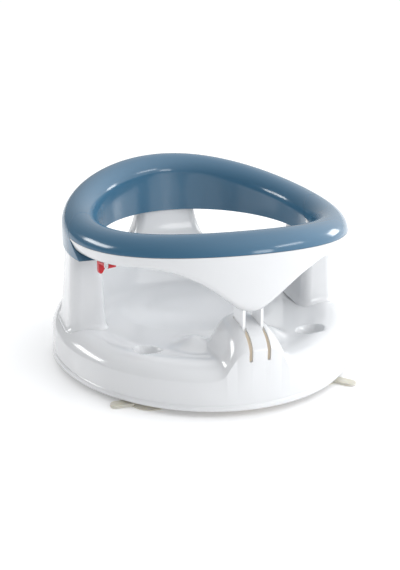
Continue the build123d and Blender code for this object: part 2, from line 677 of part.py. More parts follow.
def bar_stem(apron):
    """Two thin cheeks with hubs, a web between them and a flange that is screwed into the apron."""
    front, rear = HINGE_Y - CHEEK_FRONT, HINGE_Y + CHEEK_REAR
    profile = stem_side(front, rear, HINGE_Z - CHEEK_HEEL, CHEEK_TOP_Z)
    tongue_y = (HINGE_Y + TONGUE_FRONT, HINGE_Y + TONGUE_REAR)
    flange_top = STEM_FLANGE_Z + STEM_FLANGE_THICKNESS
    stem = block((-CHEEK_X, CHEEK_X), (rear - WEB_THICKNESS, rear), (CHEEK_SHOULDER_Z, CHEEK_TOP_Z))
    for sign in (-1, 1):
        limits = (sign * CHEEK_X - CHEEK_THICKNESS / 2, sign * CHEEK_X + CHEEK_THICKNESS / 2)
        stem += Pos(sign * CHEEK_X, 0, 0) * extrude(profile, amount=CHEEK_THICKNESS / 2, both=True)
        stem += crosswise(HUB_RADIUS, limits[0], limits[1], HINGE_Y, HINGE_Z)
    stem -= apron
    for sign in (-1, 1):
        limits = (sign * CHEEK_X - CHEEK_THICKNESS / 2, sign * CHEEK_X + CHEEK_THICKNESS / 2)
        stem += block(limits, tongue_y, (CHEEK_SHOULDER_Z, flange_top))
    stem += block((-STEM_FLANGE_HALF_WIDTH, STEM_FLANGE_HALF_WIDTH), tongue_y, (STEM_FLANGE_Z, flange_top))
    for x, y in stem_screw_places():
        stem -= upright(SCREW_RADIUS + SCREW_HOLE_GAP, x, y, STEM_FLANGE_Z - 1, flange_top + 1)
    bore = PIN_RADIUS + RUNNING_GAP
    return stem - crosswise(bore, -2 * CHEEK_X, 2 * CHEEK_X, HINGE_Y, HINGE_Z)


def slot_edges():
    """The distances from the middle of a slot's two sides."""
    half = CHEEK_THICKNESS / 2 + SLOT_GAP
    return CHEEK_X - half, CHEEK_X + half


def hinge_block():
    """The bearing block under the hump: a drum with two grooves for the cheeks, on a screwed plate."""
    groove_in, groove_out = slot_edges()
    near, far = groove_out + DRUM_GAP, groove_out + DRUM_GAP + LUG_WIDTH
    plate_top = BLOCK_PLATE_Z + BLOCK_PLATE_THICKNESS
    half = BLOCK_PLATE_DEPTH / 2
    middle = groove_in - DRUM_GAP
    part = block((-far, far), (HINGE_Y - half, HINGE_Y + half), (BLOCK_PLATE_Z, plate_top))
    part += crosswise(DRUM_RADIUS, -middle, middle, HINGE_Y, HINGE_Z)
    part += block((-middle, middle), (HINGE_Y - DRUM_RADIUS, HINGE_Y + DRUM_RADIUS), (plate_top, HINGE_Z))
    for sign in (-1, 1):
        disc = sorted((sign * near, sign * (near + DRUM_WIDTH)))
        lug = sorted((sign * near, sign * far))
        part += crosswise(DRUM_RADIUS, disc[0], disc[1], HINGE_Y, HINGE_Z)
        part += block(disc, (HINGE_Y - DRUM_RADIUS, HINGE_Y + DRUM_RADIUS), (plate_top, HINGE_Z))
        part += crosswise(LUG_RADIUS, lug[0], lug[1], HINGE_Y, HINGE_Z)
        part += block(lug, (HINGE_Y - LUG_RADIUS, HINGE_Y + LUG_RADIUS), (plate_top, HINGE_Z))
    part -= crosswise(PIN_RADIUS + RUNNING_GAP, -far - 1, far + 1, HINGE_Y, HINGE_Z)
    for x, y in hinge_boss_places():
        part -= upright(SCREW_RADIUS + SCREW_HOLE_GAP, x, y, BLOCK_PLATE_Z - 1, plate_top + 1)
    return part


def suction_cup(x, y, tab_angle):
    """A soft cup with a hollow underside, a stud that snaps into the base and a pull tab."""
    outline = Polyline((0, CUP_HOLLOW), (CUP_RADIUS - 1.4, 0), (CUP_RADIUS, 0), (CUP_RADIUS, CUP_LIP),
                       (CUP_SHOULDER_RADIUS + 5, 6.5), (CUP_SHOULDER_RADIUS, CUP_SHOULDER_Z),
                       (CUP_NECK_RADIUS, CUP_SHOULDER_Z), (CUP_NECK_RADIUS, CUP_HEAD_Z),
                       (CUP_HEAD_RADIUS, CUP_HEAD_Z), (CUP_HEAD_TOP_RADIUS, CUP_HEAD_TOP_Z),
                       (0, CUP_HEAD_TOP_Z), close=True)
    cup = revolve(Plane.XZ * make_face(outline), Axis.Z)
    length = TAB_REACH - CUP_RADIUS + 3
    strap = extrude(SlotOverall(length, TAB_WIDTH), amount=TAB_THICKNESS / 2, both=True)
    tab = Pos(TAB_REACH - length / 2, 0, TAB_Z) * strap
    tab += block((CUP_RADIUS - 4, CUP_RADIUS + 6), (-TAB_WIDTH / 2, TAB_WIDTH / 2),
                 (TAB_Z - TAB_THICKNESS / 2, TAB_Z + TAB_THICKNESS / 2))
    return Pos(x, y, 0) * Rot(0, 0, tab_angle) * (cup + tab)


def release_lever():
    """The red lever: a hub on its pin, an arm back along the bar and a rounded finger tab at its end."""
    half, thick = LEVER_WIDTH / 2, LEVER_THICKNESS / 2
    lever = lever_bar(LEVER_HUB_RADIUS, -half, half)
    lever += lever_block((0, LEVER_REACH), (-half, half), (-thick, thick))
    outline = Polyline((half, thick), (half, LEVER_TAB_RISE - LEVER_TAB_DROP), (half / 2, -LEVER_TAB_DROP),
                       (-half, -LEVER_TAB_RISE), (-half, thick), close=True)
    tab = make_face(outline)
    low = tab.vertices().sort_by(Axis.Y)[:3]
    tab = extrude(Plane.YZ * fillet(low, LEVER_TAB_CORNER), amount=LEVER_TAB_THICKNESS)
    lever += lever_plane() * Pos(LEVER_REACH - LEVER_TAB_THICKNESS, 0, 0) * tab
    return lever - lever_bar(LEVER_PIN_RADIUS + RUNNING_GAP, -half - 1, half + 1)


def lever_pin():
    """The lever's pin, a little longer than the space between its lugs' outer faces."""
    reach = LEVER_WIDTH / 2 + LEVER_SIDE_GAP + LEVER_LUG_THICKNESS + LEVER_SIDE_GAP
    return lever_bar(LEVER_PIN_RADIUS, -reach, reach)


def lever_spring():
    """The small coil between the lever's arm and the bar, which pushes the lever down."""
    low = LEVER_Z + LEVER_THICKNESS / 2
    place = (lever_plane() * Pos(SPRING_PLACE, 0, 0)).position
    room = apron_bottom(place.X) - low - 2 * SPRING_END_GAP
    rise = room - 2 * SPRING_WIRE_RADIUS
    pitch = rise / SPRING_TURNS
    print("lever spring gap between turns", round(pitch - 2 * SPRING_WIRE_RADIUS, 3))
    path = Helix(pitch, rise, SPRING_RADIUS)
    start = Plane(path @ 0, z_dir=path % 0)
    coil = sweep(start * Circle(SPRING_WIRE_RADIUS), path=path, is_frenet=True)
    return Pos(place.X, place.Y, low + SPRING_END_GAP + SPRING_WIRE_RADIUS) * coil


def hinge_screws():
    """Four screws up through the hinge block's plate."""
    return [screw(x, y, BLOCK_PLATE_Z, HINGE_Z - 4) for x, y in hinge_boss_places()]


def post_screws():
    """Six screws up through the deck into the posts' feet."""
    screws = []
    for x, y in post_screw_places():
        seat = screw_seat(x)
        screws.append(screw(x, y, seat, seat + POST_SCREW_LENGTH))
    return screws


def ring_screws():
    """Four screws up through the posts' tops into the ring."""
    return [screw(x, y, z - POST_PLATE, z + 10) for x, y, z in ring_screw_places()]


def bar_screws():
    """Four screws up through the apron into the cap."""
    screws = []
    for angle in BAR_BOSS_ANGLES:
        centre = ring_point(angle)
        seat = apron_bottom(centre.X) + BAR_HEAD_DEPTH
        screws.append(screw(centre.X, centre.Y, seat, centre.Z + SEAM_LIFT + 7))
    return screws


def stem_screws():
    """Two screws down through the stem's flange into the apron."""
    top = STEM_FLANGE_Z + STEM_FLANGE_THICKNESS
    return [screw(x, y, top, APRON_TIP_Z + STEM_SCREW_LENGTH + 1) for x, y in stem_screw_places()]


def write(name, shape):
    """Writes one node to its STEP file."""
    solids = shape if isinstance(shape, list) else [shape]
    export_step(Compound(label=name, children=[solid for item in solids for solid in item.solids()]),
                f"parts/{name}.step")
    print(name, "written")


def main():
    """Builds every node."""
    os.makedirs("parts", exist_ok=True)
    outside = base_outside()
    write("base_shell", base_shell(outside))
    left = side_post(outside)
    write("left_post", left)
    write("right_post", mirror(left, about=Plane.YZ))
    write("rear_post", rear_post(outside))
    write("ring_shell", ring_shell())
    write("bar_cap", bar_cap())
    apron = apron_solid()
    write("bar_body", bar_body(apron))
    write("bar_stem", bar_stem(apron))
    write("hinge_pin", crosswise(PIN_RADIUS, -PIN_LENGTH / 2, PIN_LENGTH / 2, HINGE_Y, HINGE_Z))
    write("hinge_block", hinge_block())
    write("release_lever", release_lever())
    write("lever_pin", lever_pin())
    write("lever_spring", lever_spring())
    for name, x, y, tab_angle in CUPS:
        write(name, suction_cup(x, y, tab_angle))
    write("hinge_screws", hinge_screws())
    write("post_screws", post_screws())
    write("ring_screws", ring_screws())
    write("bar_screws", bar_screws())
    write("stem_screws", stem_screws())


main()
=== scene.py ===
"""Looks of a baby bath seat: glossy moulded shells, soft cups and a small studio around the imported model."""

import logging
import math
from dataclasses import dataclass, field, replace
from enum import Enum
from typing import Callable, Sequence

import bpy
import numpy as np
from mathutils import Matrix, Vector


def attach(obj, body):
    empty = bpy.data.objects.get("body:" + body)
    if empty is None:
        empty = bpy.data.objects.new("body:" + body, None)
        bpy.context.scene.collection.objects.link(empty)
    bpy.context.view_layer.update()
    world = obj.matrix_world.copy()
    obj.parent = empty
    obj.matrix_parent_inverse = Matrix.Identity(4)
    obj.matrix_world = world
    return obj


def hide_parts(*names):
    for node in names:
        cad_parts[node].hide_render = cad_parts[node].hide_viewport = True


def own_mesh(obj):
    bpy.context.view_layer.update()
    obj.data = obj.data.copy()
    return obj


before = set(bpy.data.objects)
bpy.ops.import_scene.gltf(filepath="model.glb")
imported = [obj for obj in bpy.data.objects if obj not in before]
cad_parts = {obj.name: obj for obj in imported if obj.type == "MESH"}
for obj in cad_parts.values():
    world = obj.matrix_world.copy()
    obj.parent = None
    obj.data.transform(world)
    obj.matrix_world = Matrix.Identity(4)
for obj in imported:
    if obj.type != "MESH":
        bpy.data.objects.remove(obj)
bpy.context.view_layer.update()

LOG = logging.getLogger("bath_seat")
MM = 0.001
SHARP = math.radians(35.0)
FULL_TURN = 2 * math.pi
Array = np.ndarray
Colour = tuple[float, float, float]
Contour = Callable[[Array, Array], tuple[Array, Array]]


class Slot(Enum):
    """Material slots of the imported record."""

    WHITE = "white_plastic"
    BLUE = "blue_plastic"
    RED = "red_plastic"
    BEIGE = "beige_plastic"
    CUP = "cup_rubber"
    STEEL = "steel"


class Side(Enum):
    """The two mirrored sides of the seat, by the sign of X."""

    LEFT = -1
    RIGHT = 1


def smooth(share: Array) -> Array:
    """Smooth step: 0 below 0, 1 above 1 and 3s^2 - 2s^3 between them.

    Args:
        share: Where each value stands between the two ends.

    Returns:
        The eased shares.
    """
    s = np.clip(share, 0.0, 1.0)
    return s * s * (3.0 - 2.0 * s)


def soft_max(first: Array, second: Array, width: float) -> Array:
    """The larger of two heights with a rounded joint: half of a + b + sqrt((a - b)^2 + width^2).

    Args:
        first: One surface's heights.
        second: The other surface's heights.
        width: How wide the rounding is.

    Returns:
        The joined heights.
    """
    return 0.5 * (first + second + np.sqrt((first - second) ** 2 + width ** 2))


def grid_faces(rows: int, columns: int, closed: bool, start: int = 0, flip: bool = False) -> Array:
    """Quads of a grid whose vertices run column by column inside each row.

    Args:
        rows: Number of rows.
        columns: Number of columns.
        closed: Whether the last column joins the first.
        start: Index of the grid's first vertex.
        flip: Whether the faces are wound the other way.

    Returns:
        An array of four indices for each quad.
    """
    low = np.arange(rows - 1)[:, None] * columns
    here = np.arange(columns if closed else columns - 1)[None, :]
    ahead = (here + 1) % columns
    quads = np.stack([low + here, low + ahead, low + columns + ahead, low + columns + here], axis=-1)
    quads = quads.reshape(-1, 4) + start
    return quads[:, ::-1] if flip else quads


class Piece:
    """Gathers grids and polygons into one mesh object that sits at the origin."""

    def __init__(self, name: str) -> None:
        """Starts an empty piece.

        Args:
            name: The piece's name.
        """
        self.name = name
        self.points: list[Array] = []
        self.quads: list[Array] = []
        self.polygons: list[list[int]] = []
        self.count = 0

    def add_points(self, points: Array) -> int:
        """Adds points in millimetres.

        Args:
            points: Coordinates with X, Y and Z on the last axis.

        Returns:
            The index of the first one.
        """
        first = self.count
        flat = points.reshape(-1, 3)
        self.points.append(flat)
        self.count += len(flat)
        return first

    def add_grid(self, points: Array, closed: bool = False, flip: bool = False) -> int:
        """Adds a grid of points and its quads.

        Args:
            points: Rows by columns by three.
            closed: Whether each row closes on itself.
            flip: Whether the faces are wound the other way.

        Returns:
            The index of the grid's first point.
        """
        first = self.add_points(points)
        self.quads.append(grid_faces(points.shape[0], points.shape[1], closed, first, flip))
        return first

    def add_strip(self, near: Array, far: Array, closed: bool = False) -> None:
        """Joins two rows of indices with quads.

        Args:
            near: Indices of one row.
            far: Indices of the other row.
            closed: Whether the strip closes on itself.
        """
        next_near, next_far = np.roll(near, -1), np.roll(far, -1)
        quads = np.stack([near, next_near, next_far, far], axis=-1)
        self.quads.append(quads if closed else quads[:-1])

    def add_rod(self, points: Array, flip: bool = False) -> None:
        """Adds a grid of closed rows and a face over each of its two ends.

        Args:
            points: Rows by columns by three.
            flip: Whether the faces are wound the other way.
        """
        near = self.add_grid(points, closed=True, flip=flip) + np.arange(points.shape[1])
        far = near + (points.shape[0] - 1) * points.shape[1]
        self.polygons += [list(near), list(far[::-1])] if flip else [list(near[::-1]), list(far)]

    def build(self) -> bpy.types.Object:
        """Writes the mesh, turns its faces outwards and links its object.

        Returns:
            The new object.
        """
        points = np.concatenate(self.points) * MM
        quads = np.concatenate(self.quads) if self.quads else np.zeros((0, 4), int)
        corners = [quads.ravel()] + [np.array(polygon) for polygon in self.polygons]
        sizes = np.array([4] * len(quads) + [len(polygon) for polygon in self.polygons])
        mesh = bpy.data.meshes.new(self.name)
        mesh.vertices.add(len(points))
        mesh.vertices.foreach_set("co", points.astype(np.float32).ravel())
        mesh.loops.add(int(sizes.sum()))
        mesh.loops.foreach_set("vertex_index", np.concatenate(corners).astype(np.int32))
        mesh.polygons.add(len(sizes))
        starts = np.concatenate([[0], np.cumsum(sizes)[:-1]])
        mesh.polygons.foreach_set("loop_start", starts.astype(np.int32))
        mesh.polygons.foreach_set("use_smooth", np.ones(len(sizes), bool))
        mesh.update(calc_edges=True)
        mesh.validate()
        mesh.set_sharp_from_angle(angle=SHARP)
        thing = bpy.data.objects.new(self.name, mesh)
        bpy.context.scene.collection.objects.link(thing)
        face_outwards(thing)
        return thing


def face_outwards(thing: bpy.types.Object) -> None:
    """Turns a closed mesh's faces outwards where its signed volume is negative.

    Args:
        thing: The object whose mesh is tested.
    """
    mesh = thing.data
    mesh.calc_loop_triangles()
    corners = np.zeros(len(mesh.loop_triangles) * 3, np.int32)
    mesh.loop_triangles.foreach_get("vertices", corners)
    places = np.zeros(len(mesh.vertices) * 3, np.float32)
    mesh.vertices.foreach_get("co", places)
    triangles = places.reshape(-1, 3)[corners.reshape(-1, 3)].astype(float)
    volume = np.einsum("ij,ij->i", triangles[:, 0], np.cross(triangles[:, 1], triangles[:, 2])).sum() / 6
    if volume < 0:
        mesh.flip_normals()
    LOG.info("%s: %d vertices, volume %.1f cm3", thing.name, len(mesh.vertices), abs(volume) * 1e6)


@dataclass(frozen=True)
class Value:
    """A number in a shader: one output socket with the operators of plain arithmetic."""

    shader: "Shader"
    socket: bpy.types.NodeSocket

    def _with(self, operation: str, other: object, swap: bool = False) -> "Value":
        """One Math node on this value and another, in either order."""
        pair = (other, self) if swap else (self, other)
        return self.shader.node("ShaderNodeMath", {"operation": operation}, dict(enumerate(pair)))

    def __add__(self, other: object) -> "Value":
        """Sum."""
        return self._with("ADD", other)

    def __radd__(self, other: object) -> "Value":
        """Reflected sum."""
        return self._with("ADD", other, True)

    def __sub__(self, other: object) -> "Value":
        """Difference."""
        return self._with("SUBTRACT", other)

    def __rsub__(self, other: object) -> "Value":
        """Reflected difference."""
        return self._with("SUBTRACT", other, True)

    def __mul__(self, other: object) -> "Value":
        """Product."""
        return self._with("MULTIPLY", other)

    def __rmul__(self, other: object) -> "Value":
        """Reflected product."""
        return self._with("MULTIPLY", other, True)

    def __pow__(self, other: object) -> "Value":
        """Power."""
        return self._with("POWER", other)


class Shader:
    """Builds the nodes of one tree."""

    def __init__(self, tree: bpy.types.NodeTree) -> None:
        """Starts with an empty tree."""
        self.tree = tree
        self.tree.nodes.clear()

    def node(self, kind: str, settings: dict, inputs: dict, output: object = 0) -> Value:
        """Adds a node, sets it up and feeds its sockets.

        Args:
            kind: The node's type.
            settings: Its own settings, which are set first.
            inputs: Values or links by socket name or number.
            output: Name or number of the output that is returned.

        Returns:
            The output as a value.
        """
        made = self.tree.nodes.new(kind)
        for key, value in settings.items():
            setattr(made, key, value)
        for key, value in inputs.items():
            if isinstance(value, Value):
                self.tree.links.new(value.socket, made.inputs[key])
            else:
                made.inputs[key].default_value = value
        return Value(self, made.outputs[output])

    def end(self, kind: str, surface: Value) -> None:
        """Joins a surface to the tree's output node."""
        made = self.tree.nodes.new(kind)
        self.tree.links.new(surface.socket, made.inputs["Surface"])

    def place(self) -> Value:
        """The object's own coordinates."""
        return self.node("ShaderNodeTexCoord", {}, {}, "Object")

    def noise(self, scale: float, detail: float = 3.0, roughness: float = 0.5) -> Value:
        """Noise over the object's own coordinates.

        Args:
            scale: Cells in each metre.
            detail: Number of finer layers.
            roughness: Share of the finer layers.

        Returns:
            A value around one half.
        """
        sockets = {"Vector": self.place(), "Scale": scale, "Detail": detail, "Roughness": roughness}
        return self.node("ShaderNodeTexNoise", {}, sockets, "Fac")

    def blend(self, share: Value, first: Colour, second: Colour) -> Value:
        """Mixes two colours.

        Args:
            share: How much of the second shows.
            first: The first colour.
            second: The second colour.

        Returns:
            The mixed colour.
        """
        sockets = {0: share, 6: (*first, 1.0), 7: (*second, 1.0)}
        return self.node("ShaderNodeMix", {"data_type": "RGBA"}, sockets, 2)

    def grey(self, level: Value) -> Value:
        """A grey colour of one level."""
        return self.node("ShaderNodeCombineColor", {}, {0: level, 1: level, 2: level})

    def bump(self, height: Value, strength: float, distance: float) -> Value:
        """A Bump node's normal.

        Args:
            height: The height over the surface.
            strength: Share of the effect.
            distance: Height of one unit, in metres.

        Returns:
            The bent normal.
        """
        sockets = {"Height": height, "Strength": strength, "Distance": distance}
        return self.node("ShaderNodeBump", {}, sockets, "Normal")


class MaterialShader(Shader):
    """Builds one material's node tree."""

    def __init__(self, name: str) -> None:
        """Starts a material by its name."""
        self.material = bpy.data.materials.new(name)
        self.material.use_nodes = True
        super().__init__(self.material.node_tree)

    def surface(self, inputs: dict) -> bpy.types.Material:
        """Ends the tree with a Principled shader.

        Args:
            inputs: Values or links of its sockets.

        Returns:
            The finished material.
        """
        self.end("ShaderNodeOutputMaterial", self.node("ShaderNodeBsdfPrincipled", {}, inputs, "BSDF"))
        return self.material


@dataclass(frozen=True)
class Finish:
    """A surface with slow clouds between two shades, and a fine grain in its gloss and its relief.

    The roughness is its own value, plus a share of the grain and, where the gloss is worn, a share of a slow
    noise about its middle. A pattern is a noise's scale and detail, and the relief a strength and a height.
    """

    name: str
    light: Colour
    dark: Colour
    roughness: float
    grain_gloss: float
    cloud: tuple[float, float]
    grain: tuple[float, float]
    relief: tuple[float, float]
    wear: float = 0.0
    wear_ratio: float = 6.0
    # painted_glow: a painted glow, emission in the surface's own colour that lights it as no lamp does
    painted_glow: float = 0.0

    def patterns(self, shader: Shader) -> tuple[Value, Value]:
        """The clouds and the grain."""
        return shader.noise(*self.cloud), shader.noise(*self.grain)

    def sockets(self) -> dict:
        """Constant values of further sockets."""
        return {}

    def material(self) -> bpy.types.Material:
        """Builds the material.

        Returns:
            The finished material.
        """
        shader = MaterialShader(self.name)
        clouds, grain = self.patterns(shader)
        gloss = self.roughness + self.grain_gloss * grain
        if self.wear:
            gloss = gloss + self.wear * (shader.noise(self.cloud[0] * self.wear_ratio, 4.0, 0.6) - 0.5)
        colour = shader.blend(clouds, self.light, self.dark)
        return shader.surface({
            "Base Color": colour,
            "Roughness": gloss,
            "Normal": shader.bump(grain, *self.relief),
            "Emission Color": colour,
            # Painted glow: the surface's colour also shines as emission at painted_glow's strength.
            "Emission Strength": self.painted_glow,
            **self.sockets(),
        })


@dataclass(frozen=True)
class GlossPlastic(Finish):
    """Injection-moulded glossy plastic with a faint orange peel and a slightly uneven gloss."""

    roughness: float = 0.15
    grain_gloss: float = 0.02
    cloud: tuple[float, float] = (9.0, 2.0)
    grain: tuple[float, float] = (420.0, 2.0)
    relief: tuple[float, float] = (0.25, 0.00002)
    wear: float = 0.05
    coat: float = 0.35
    coat_roughness: float = 0.06
    glow: float = 0.0
    glow_depth: float = 0.004
    bending: float = 1.5

    def sockets(self) -> dict:
        """The clear coat and the light that goes in and out under the skin."""
        return {
            "IOR": self.bending,
            "Coat Weight": self.coat,
            "Coat Roughness": self.coat_roughness,
            "Subsurface Weight": self.glow,
            "Subsurface Radius": (self.glow_depth,) * 3,
        }


@dataclass(frozen=True)
class SoftRubber(Finish):
    """Warm, milky rubber of the suction cups with a fine bloom."""

    roughness: float = 0.3
    grain_gloss: float = 0.12
    cloud: tuple[float, float] = (45.0, 3.0)
    grain: tuple[float, float] = (700.0, 2.0)
    relief: tuple[float, float] = (0.3, 0.00003)
    glow: float = 0.4
    glow_radius: Colour = (0.006, 0.005, 0.003)
    clear: float = 0.35

    def sockets(self) -> dict:
        """The milky depth."""
        return {
            "Subsurface Weight": self.glow,
            "Subsurface Radius": self.glow_radius,
            "Transmission Weight": self.clear,
        }


@dataclass(frozen=True)
class MattePlastic(Finish):
    """Dull, sandy plastic of the bearing block, with a painted glow (emission) in place of the light that
    shines through the thin hump above it.
    """

    roughness: float = 0.5
    grain_gloss: float = 0.15
    cloud: tuple[float, float] = (60.0, 2.0)
    grain: tuple[float, float] = (900.0, 3.0)
    relief: tuple[float, float] = (0.5, 0.00004)
    painted_glow: float = 0.5


@dataclass(frozen=True)
class BrushedSteel(Finish):
    """Bright steel with fine drawn lines along X, for pins, screws and the spring."""

    roughness: float = 0.22
    grain_gloss: float = 0.16
    cloud: tuple[float, float] = (1.0, 3.0)
    grain: tuple[float, float] = (1.0, 3.0)
    relief: tuple[float, float] = (0.2, 0.00002)
    stretch: Colour = (90.0, 2500.0, 2500.0)

    def patterns(self, shader: Shader) -> tuple[Value, Value]:
        """One noise, drawn out along X, for both the shade and the grain."""
        drawn = shader.node("ShaderNodeMapping", {}, {"Vector": shader.place(), "Scale": self.stretch})
        sockets = {"Vector": drawn, "Scale": self.grain[0], "Detail": self.grain[1]}
        lines = shader.node("ShaderNodeTexNoise", {}, sockets, "Fac")
        return lines, lines

    def sockets(self) -> dict:
        """Bare metal."""
        return {"Metallic": 1.0}


class Palette:
    """One material for each slot of the record."""

    def __init__(self) -> None:
        """Builds the materials."""
        white = GlossPlastic("white_plastic", (0.745, 0.752, 0.762), (0.715, 0.722, 0.735), glow=0.15)
        blue = GlossPlastic("blue_plastic", (0.056, 0.148, 0.240), (0.047, 0.130, 0.216), coat=0.12)
        red = GlossPlastic("red_plastic", (0.62, 0.015, 0.025), (0.50, 0.010, 0.018), roughness=0.2)
        # The bearing block's beige is partly painted shade: its tone is matched to the warm shaded inside of
        # the hump seen through the slots.
        beige = MattePlastic("beige_plastic", (0.62, 0.56, 0.47), (0.55, 0.48, 0.39))
        rubber = SoftRubber("cup_rubber", (0.86, 0.84, 0.76), (0.76, 0.73, 0.63))
        steel = BrushedSteel("steel", (0.66, 0.66, 0.67), (0.48, 0.48, 0.50))
        # The white with a painted glow: emission of 0.22 lightens the shaded web of the stem between its
        # cheeks.
        self.white_painted_glow = replace(white, name="white_plastic_painted_glow", painted_glow=0.22).material()
        self.by_slot = {Slot(made.name): made.material() for made in (white, blue, red, beige, rubber, steel)}

    def dress(self, thing: bpy.types.Object, slot: Slot) -> None:
        """Gives an object one material.

        Args:
            thing: The object.
            slot: Which of the record's slots it takes.
        """
        thing.data.materials.clear()
        thing.data.materials.append(self.by_slot[slot])

    def finish(self, thing: bpy.types.Object, slot: Slot, body: str, nodes: Sequence[str]) -> None:
        """Dresses a new piece, lets it ride on its body and stand for its nodes.

        Args:
            thing: The new piece.
            slot: Which of the record's slots it takes.
            body: The body it moves with.
            nodes: The nodes that it stands for.
        """
        self.dress(thing, slot)
        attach(thing, body)
        if nodes:
            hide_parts(*nodes)


@dataclass(frozen=True)
class RingLine:
    """The centre line of the ring and the bar, in millimetres.

    At an angle from +X towards the back, with s and c for its sine and cosine, a point lies at half_width c,
    centre_y + reach s, side_z + tilt s + dish s^2, where reach differs in front and behind.
    """

    half_width: float = 135.7
    front: float = 148.6
    back: float = 158.9
    centre_y: float = -5.4
    side_z: float = 154.7
    tilt: float = 10.3
    dish: float = 19.4

    def point(self, angle: Array) -> Array:
        """Points of the line at angles in radians."""
        c, s = np.cos(angle), np.sin(angle)
        reach = np.where(s >= 0, self.back, self.front)
        height = self.side_z + self.tilt * s + self.dish * s ** 2
        return np.stack([self.half_width * c, self.centre_y + reach * s, height], axis=-1)

    def outwards(self, angle: Array) -> Array:
        """Level unit directions away from the ring's middle."""
        c, s = np.cos(angle), np.sin(angle)
        reach = np.where(s >= 0, self.back, self.front)
        away = np.stack([c / self.half_width, s / reach, np.zeros_like(c)], axis=-1)
        return away / np.linalg.norm(away, axis=-1, keepdims=True)

    def offset(self, angle: Array, across: Array, up: Array) -> Array:
        """Points beside the line: across is outwards and up is along Z."""
        moved = self.point(angle) + across[..., None] * self.outwards(angle)
        moved[..., 2] += up
        return moved

    def half_width_at(self, y: float) -> float:
        """Half the width of the line at a place along Y."""
        reach = self.back if y >= self.centre_y else self.front
        return self.half_width * math.sqrt(1 - ((y - self.centre_y) / reach) ** 2)


@dataclass(frozen=True)
class Seam:
    """The plane through the hinge axis that parts the bar from the ring."""

    hinge_y: float = -151.5
    hinge_z: float = 63.0
    tilt_deg: float = 36.0
    gap: float = 0.6

    def height(self, points: Array) -> Array:
        """Signed distance from the plane, positive on the bar's side."""
        tilt = math.radians(self.tilt_deg)
        along, up = points[..., 1] - self.hinge_y, points[..., 2] - self.hinge_z
        return up * math.cos(tilt) - along * math.sin(tilt)


@dataclass
class SweptShell:
    """An open shell swept along the ring's line, with a wall at each end in the seam plane.

    The outline is a function of the angle and of a share from 0 to 1 around the section. Every line of the
    sweep starts and ends where it meets the seam plane, found by halving the angle between two limits.
    """

    name: str
    line: RingLine
    seam: Seam
    outer: Contour
    inner: Contour
    behind: bool
    wall: float = 2.6
    stations: int = 220
    columns: int = 72
    halvings: int = 40
    search_deg: tuple[float, float] = (150.0, 252.0)

    def end_angle(self, contour: Contour, shares: Array, level: float) -> Array:
        """Angles on the left side where each line of the outline meets the seam plane at a level."""
        low = np.full(shares.shape, math.radians(self.search_deg[0]))
        high = np.full(shares.shape, math.radians(self.search_deg[1]))
        for _ in range(self.halvings):
            middle = (low + high) / 2
            under = self.seam.height(self.line.offset(middle, *contour(middle, shares))) < level
            low, high = np.where(under, middle, low), np.where(under, high, middle)
        return (low + high) / 2

    def skin(self, contour: Contour, inset: float) -> Array:
        """The grid of one skin: stations by columns by three.

        Args:
            contour: The outline to sweep.
            inset: How far the skin's ends stand back from the seam.

        Returns:
            The skin's points.
        """
        shares = np.linspace(0.0, 1.0, self.columns)
        level = self.seam.gap / 2 + inset
        left = self.end_angle(contour, shares, -level if self.behind else level)
        start = math.pi - left if self.behind else left
        end = left if self.behind else 3 * math.pi - left
        along = np.linspace(0.0, 1.0, self.stations)[:, None]
        angle = start[None, :] + (end - start)[None, :] * along
        return self.line.offset(angle, *contour(angle, np.broadcast_to(shares, angle.shape)))

    def build(self) -> bpy.types.Object:
        """Joins the outer and inner skins, their rims and the end walls into one closed piece.

        Returns:
            The new object.
        """
        piece = Piece(self.name)
        outside, inside = self.skin(self.outer, 0.0), self.skin(self.inner, self.wall)
        first = piece.add_grid(outside)
        second = piece.add_grid(inside, flip=True)
        row = np.arange(self.stations) * self.columns
        piece.add_strip(first + row, second + row)
        piece.add_strip(second + row + self.columns - 1, first + row + self.columns - 1)
        columns = np.arange(self.columns)
        last = (self.stations - 1) * self.columns
        for shift, turned in ((0, False), (last, True)):
            over, under = first + shift + columns, second + shift + columns
            ends = [[over[0], over[-1], under[-1], under[0]], list(over[::-1]), list(under)]
            piece.polygons += [face[::-1] for face in ends] if turned else ends
        return piece.build()


@dataclass
class Ring:
    """The blue ring: a half-round tube with straight walls down to one level rim."""

    line: RingLine
    radius: float = 20.1
    wall: float = 2.6
    rim_z: float = 137.0
    wall_share: float = 0.2

    def contour(self, inset: float) -> Contour:
        """The section: up a straight wall, over a half circle and down the other wall."""

        def outline(angle: Array, share: Array) -> tuple[Array, Array]:
            """Across is -r cos(turn) and up is r sin(turn), plus the drop to the rim on the two walls."""
            radius = self.radius - inset
            low = self.rim_z - self.line.point(angle)[..., 2]
            turn = np.clip((share - self.wall_share) / (1 - 2 * self.wall_share), 0.0, 1.0) * math.pi
            drop = np.clip(1 - share / self.wall_share, 0.0, 1.0)
            drop = drop + np.clip(1 - (1 - share) / self.wall_share, 0.0, 1.0)
            return -radius * np.cos(turn), radius * np.sin(turn) + low * drop

        return outline

    def make(self, seam: Seam, palette: Palette) -> None:
        """Builds the ring."""
        outer, inner = self.contour(0), self.contour(self.wall)
        shell = SweptShell("ring_skin", self.line, seam, outer, inner, True, self.wall, stations=300)
        palette.finish(shell.build(), Slot.BLUE, "base", ["ring_shell"])


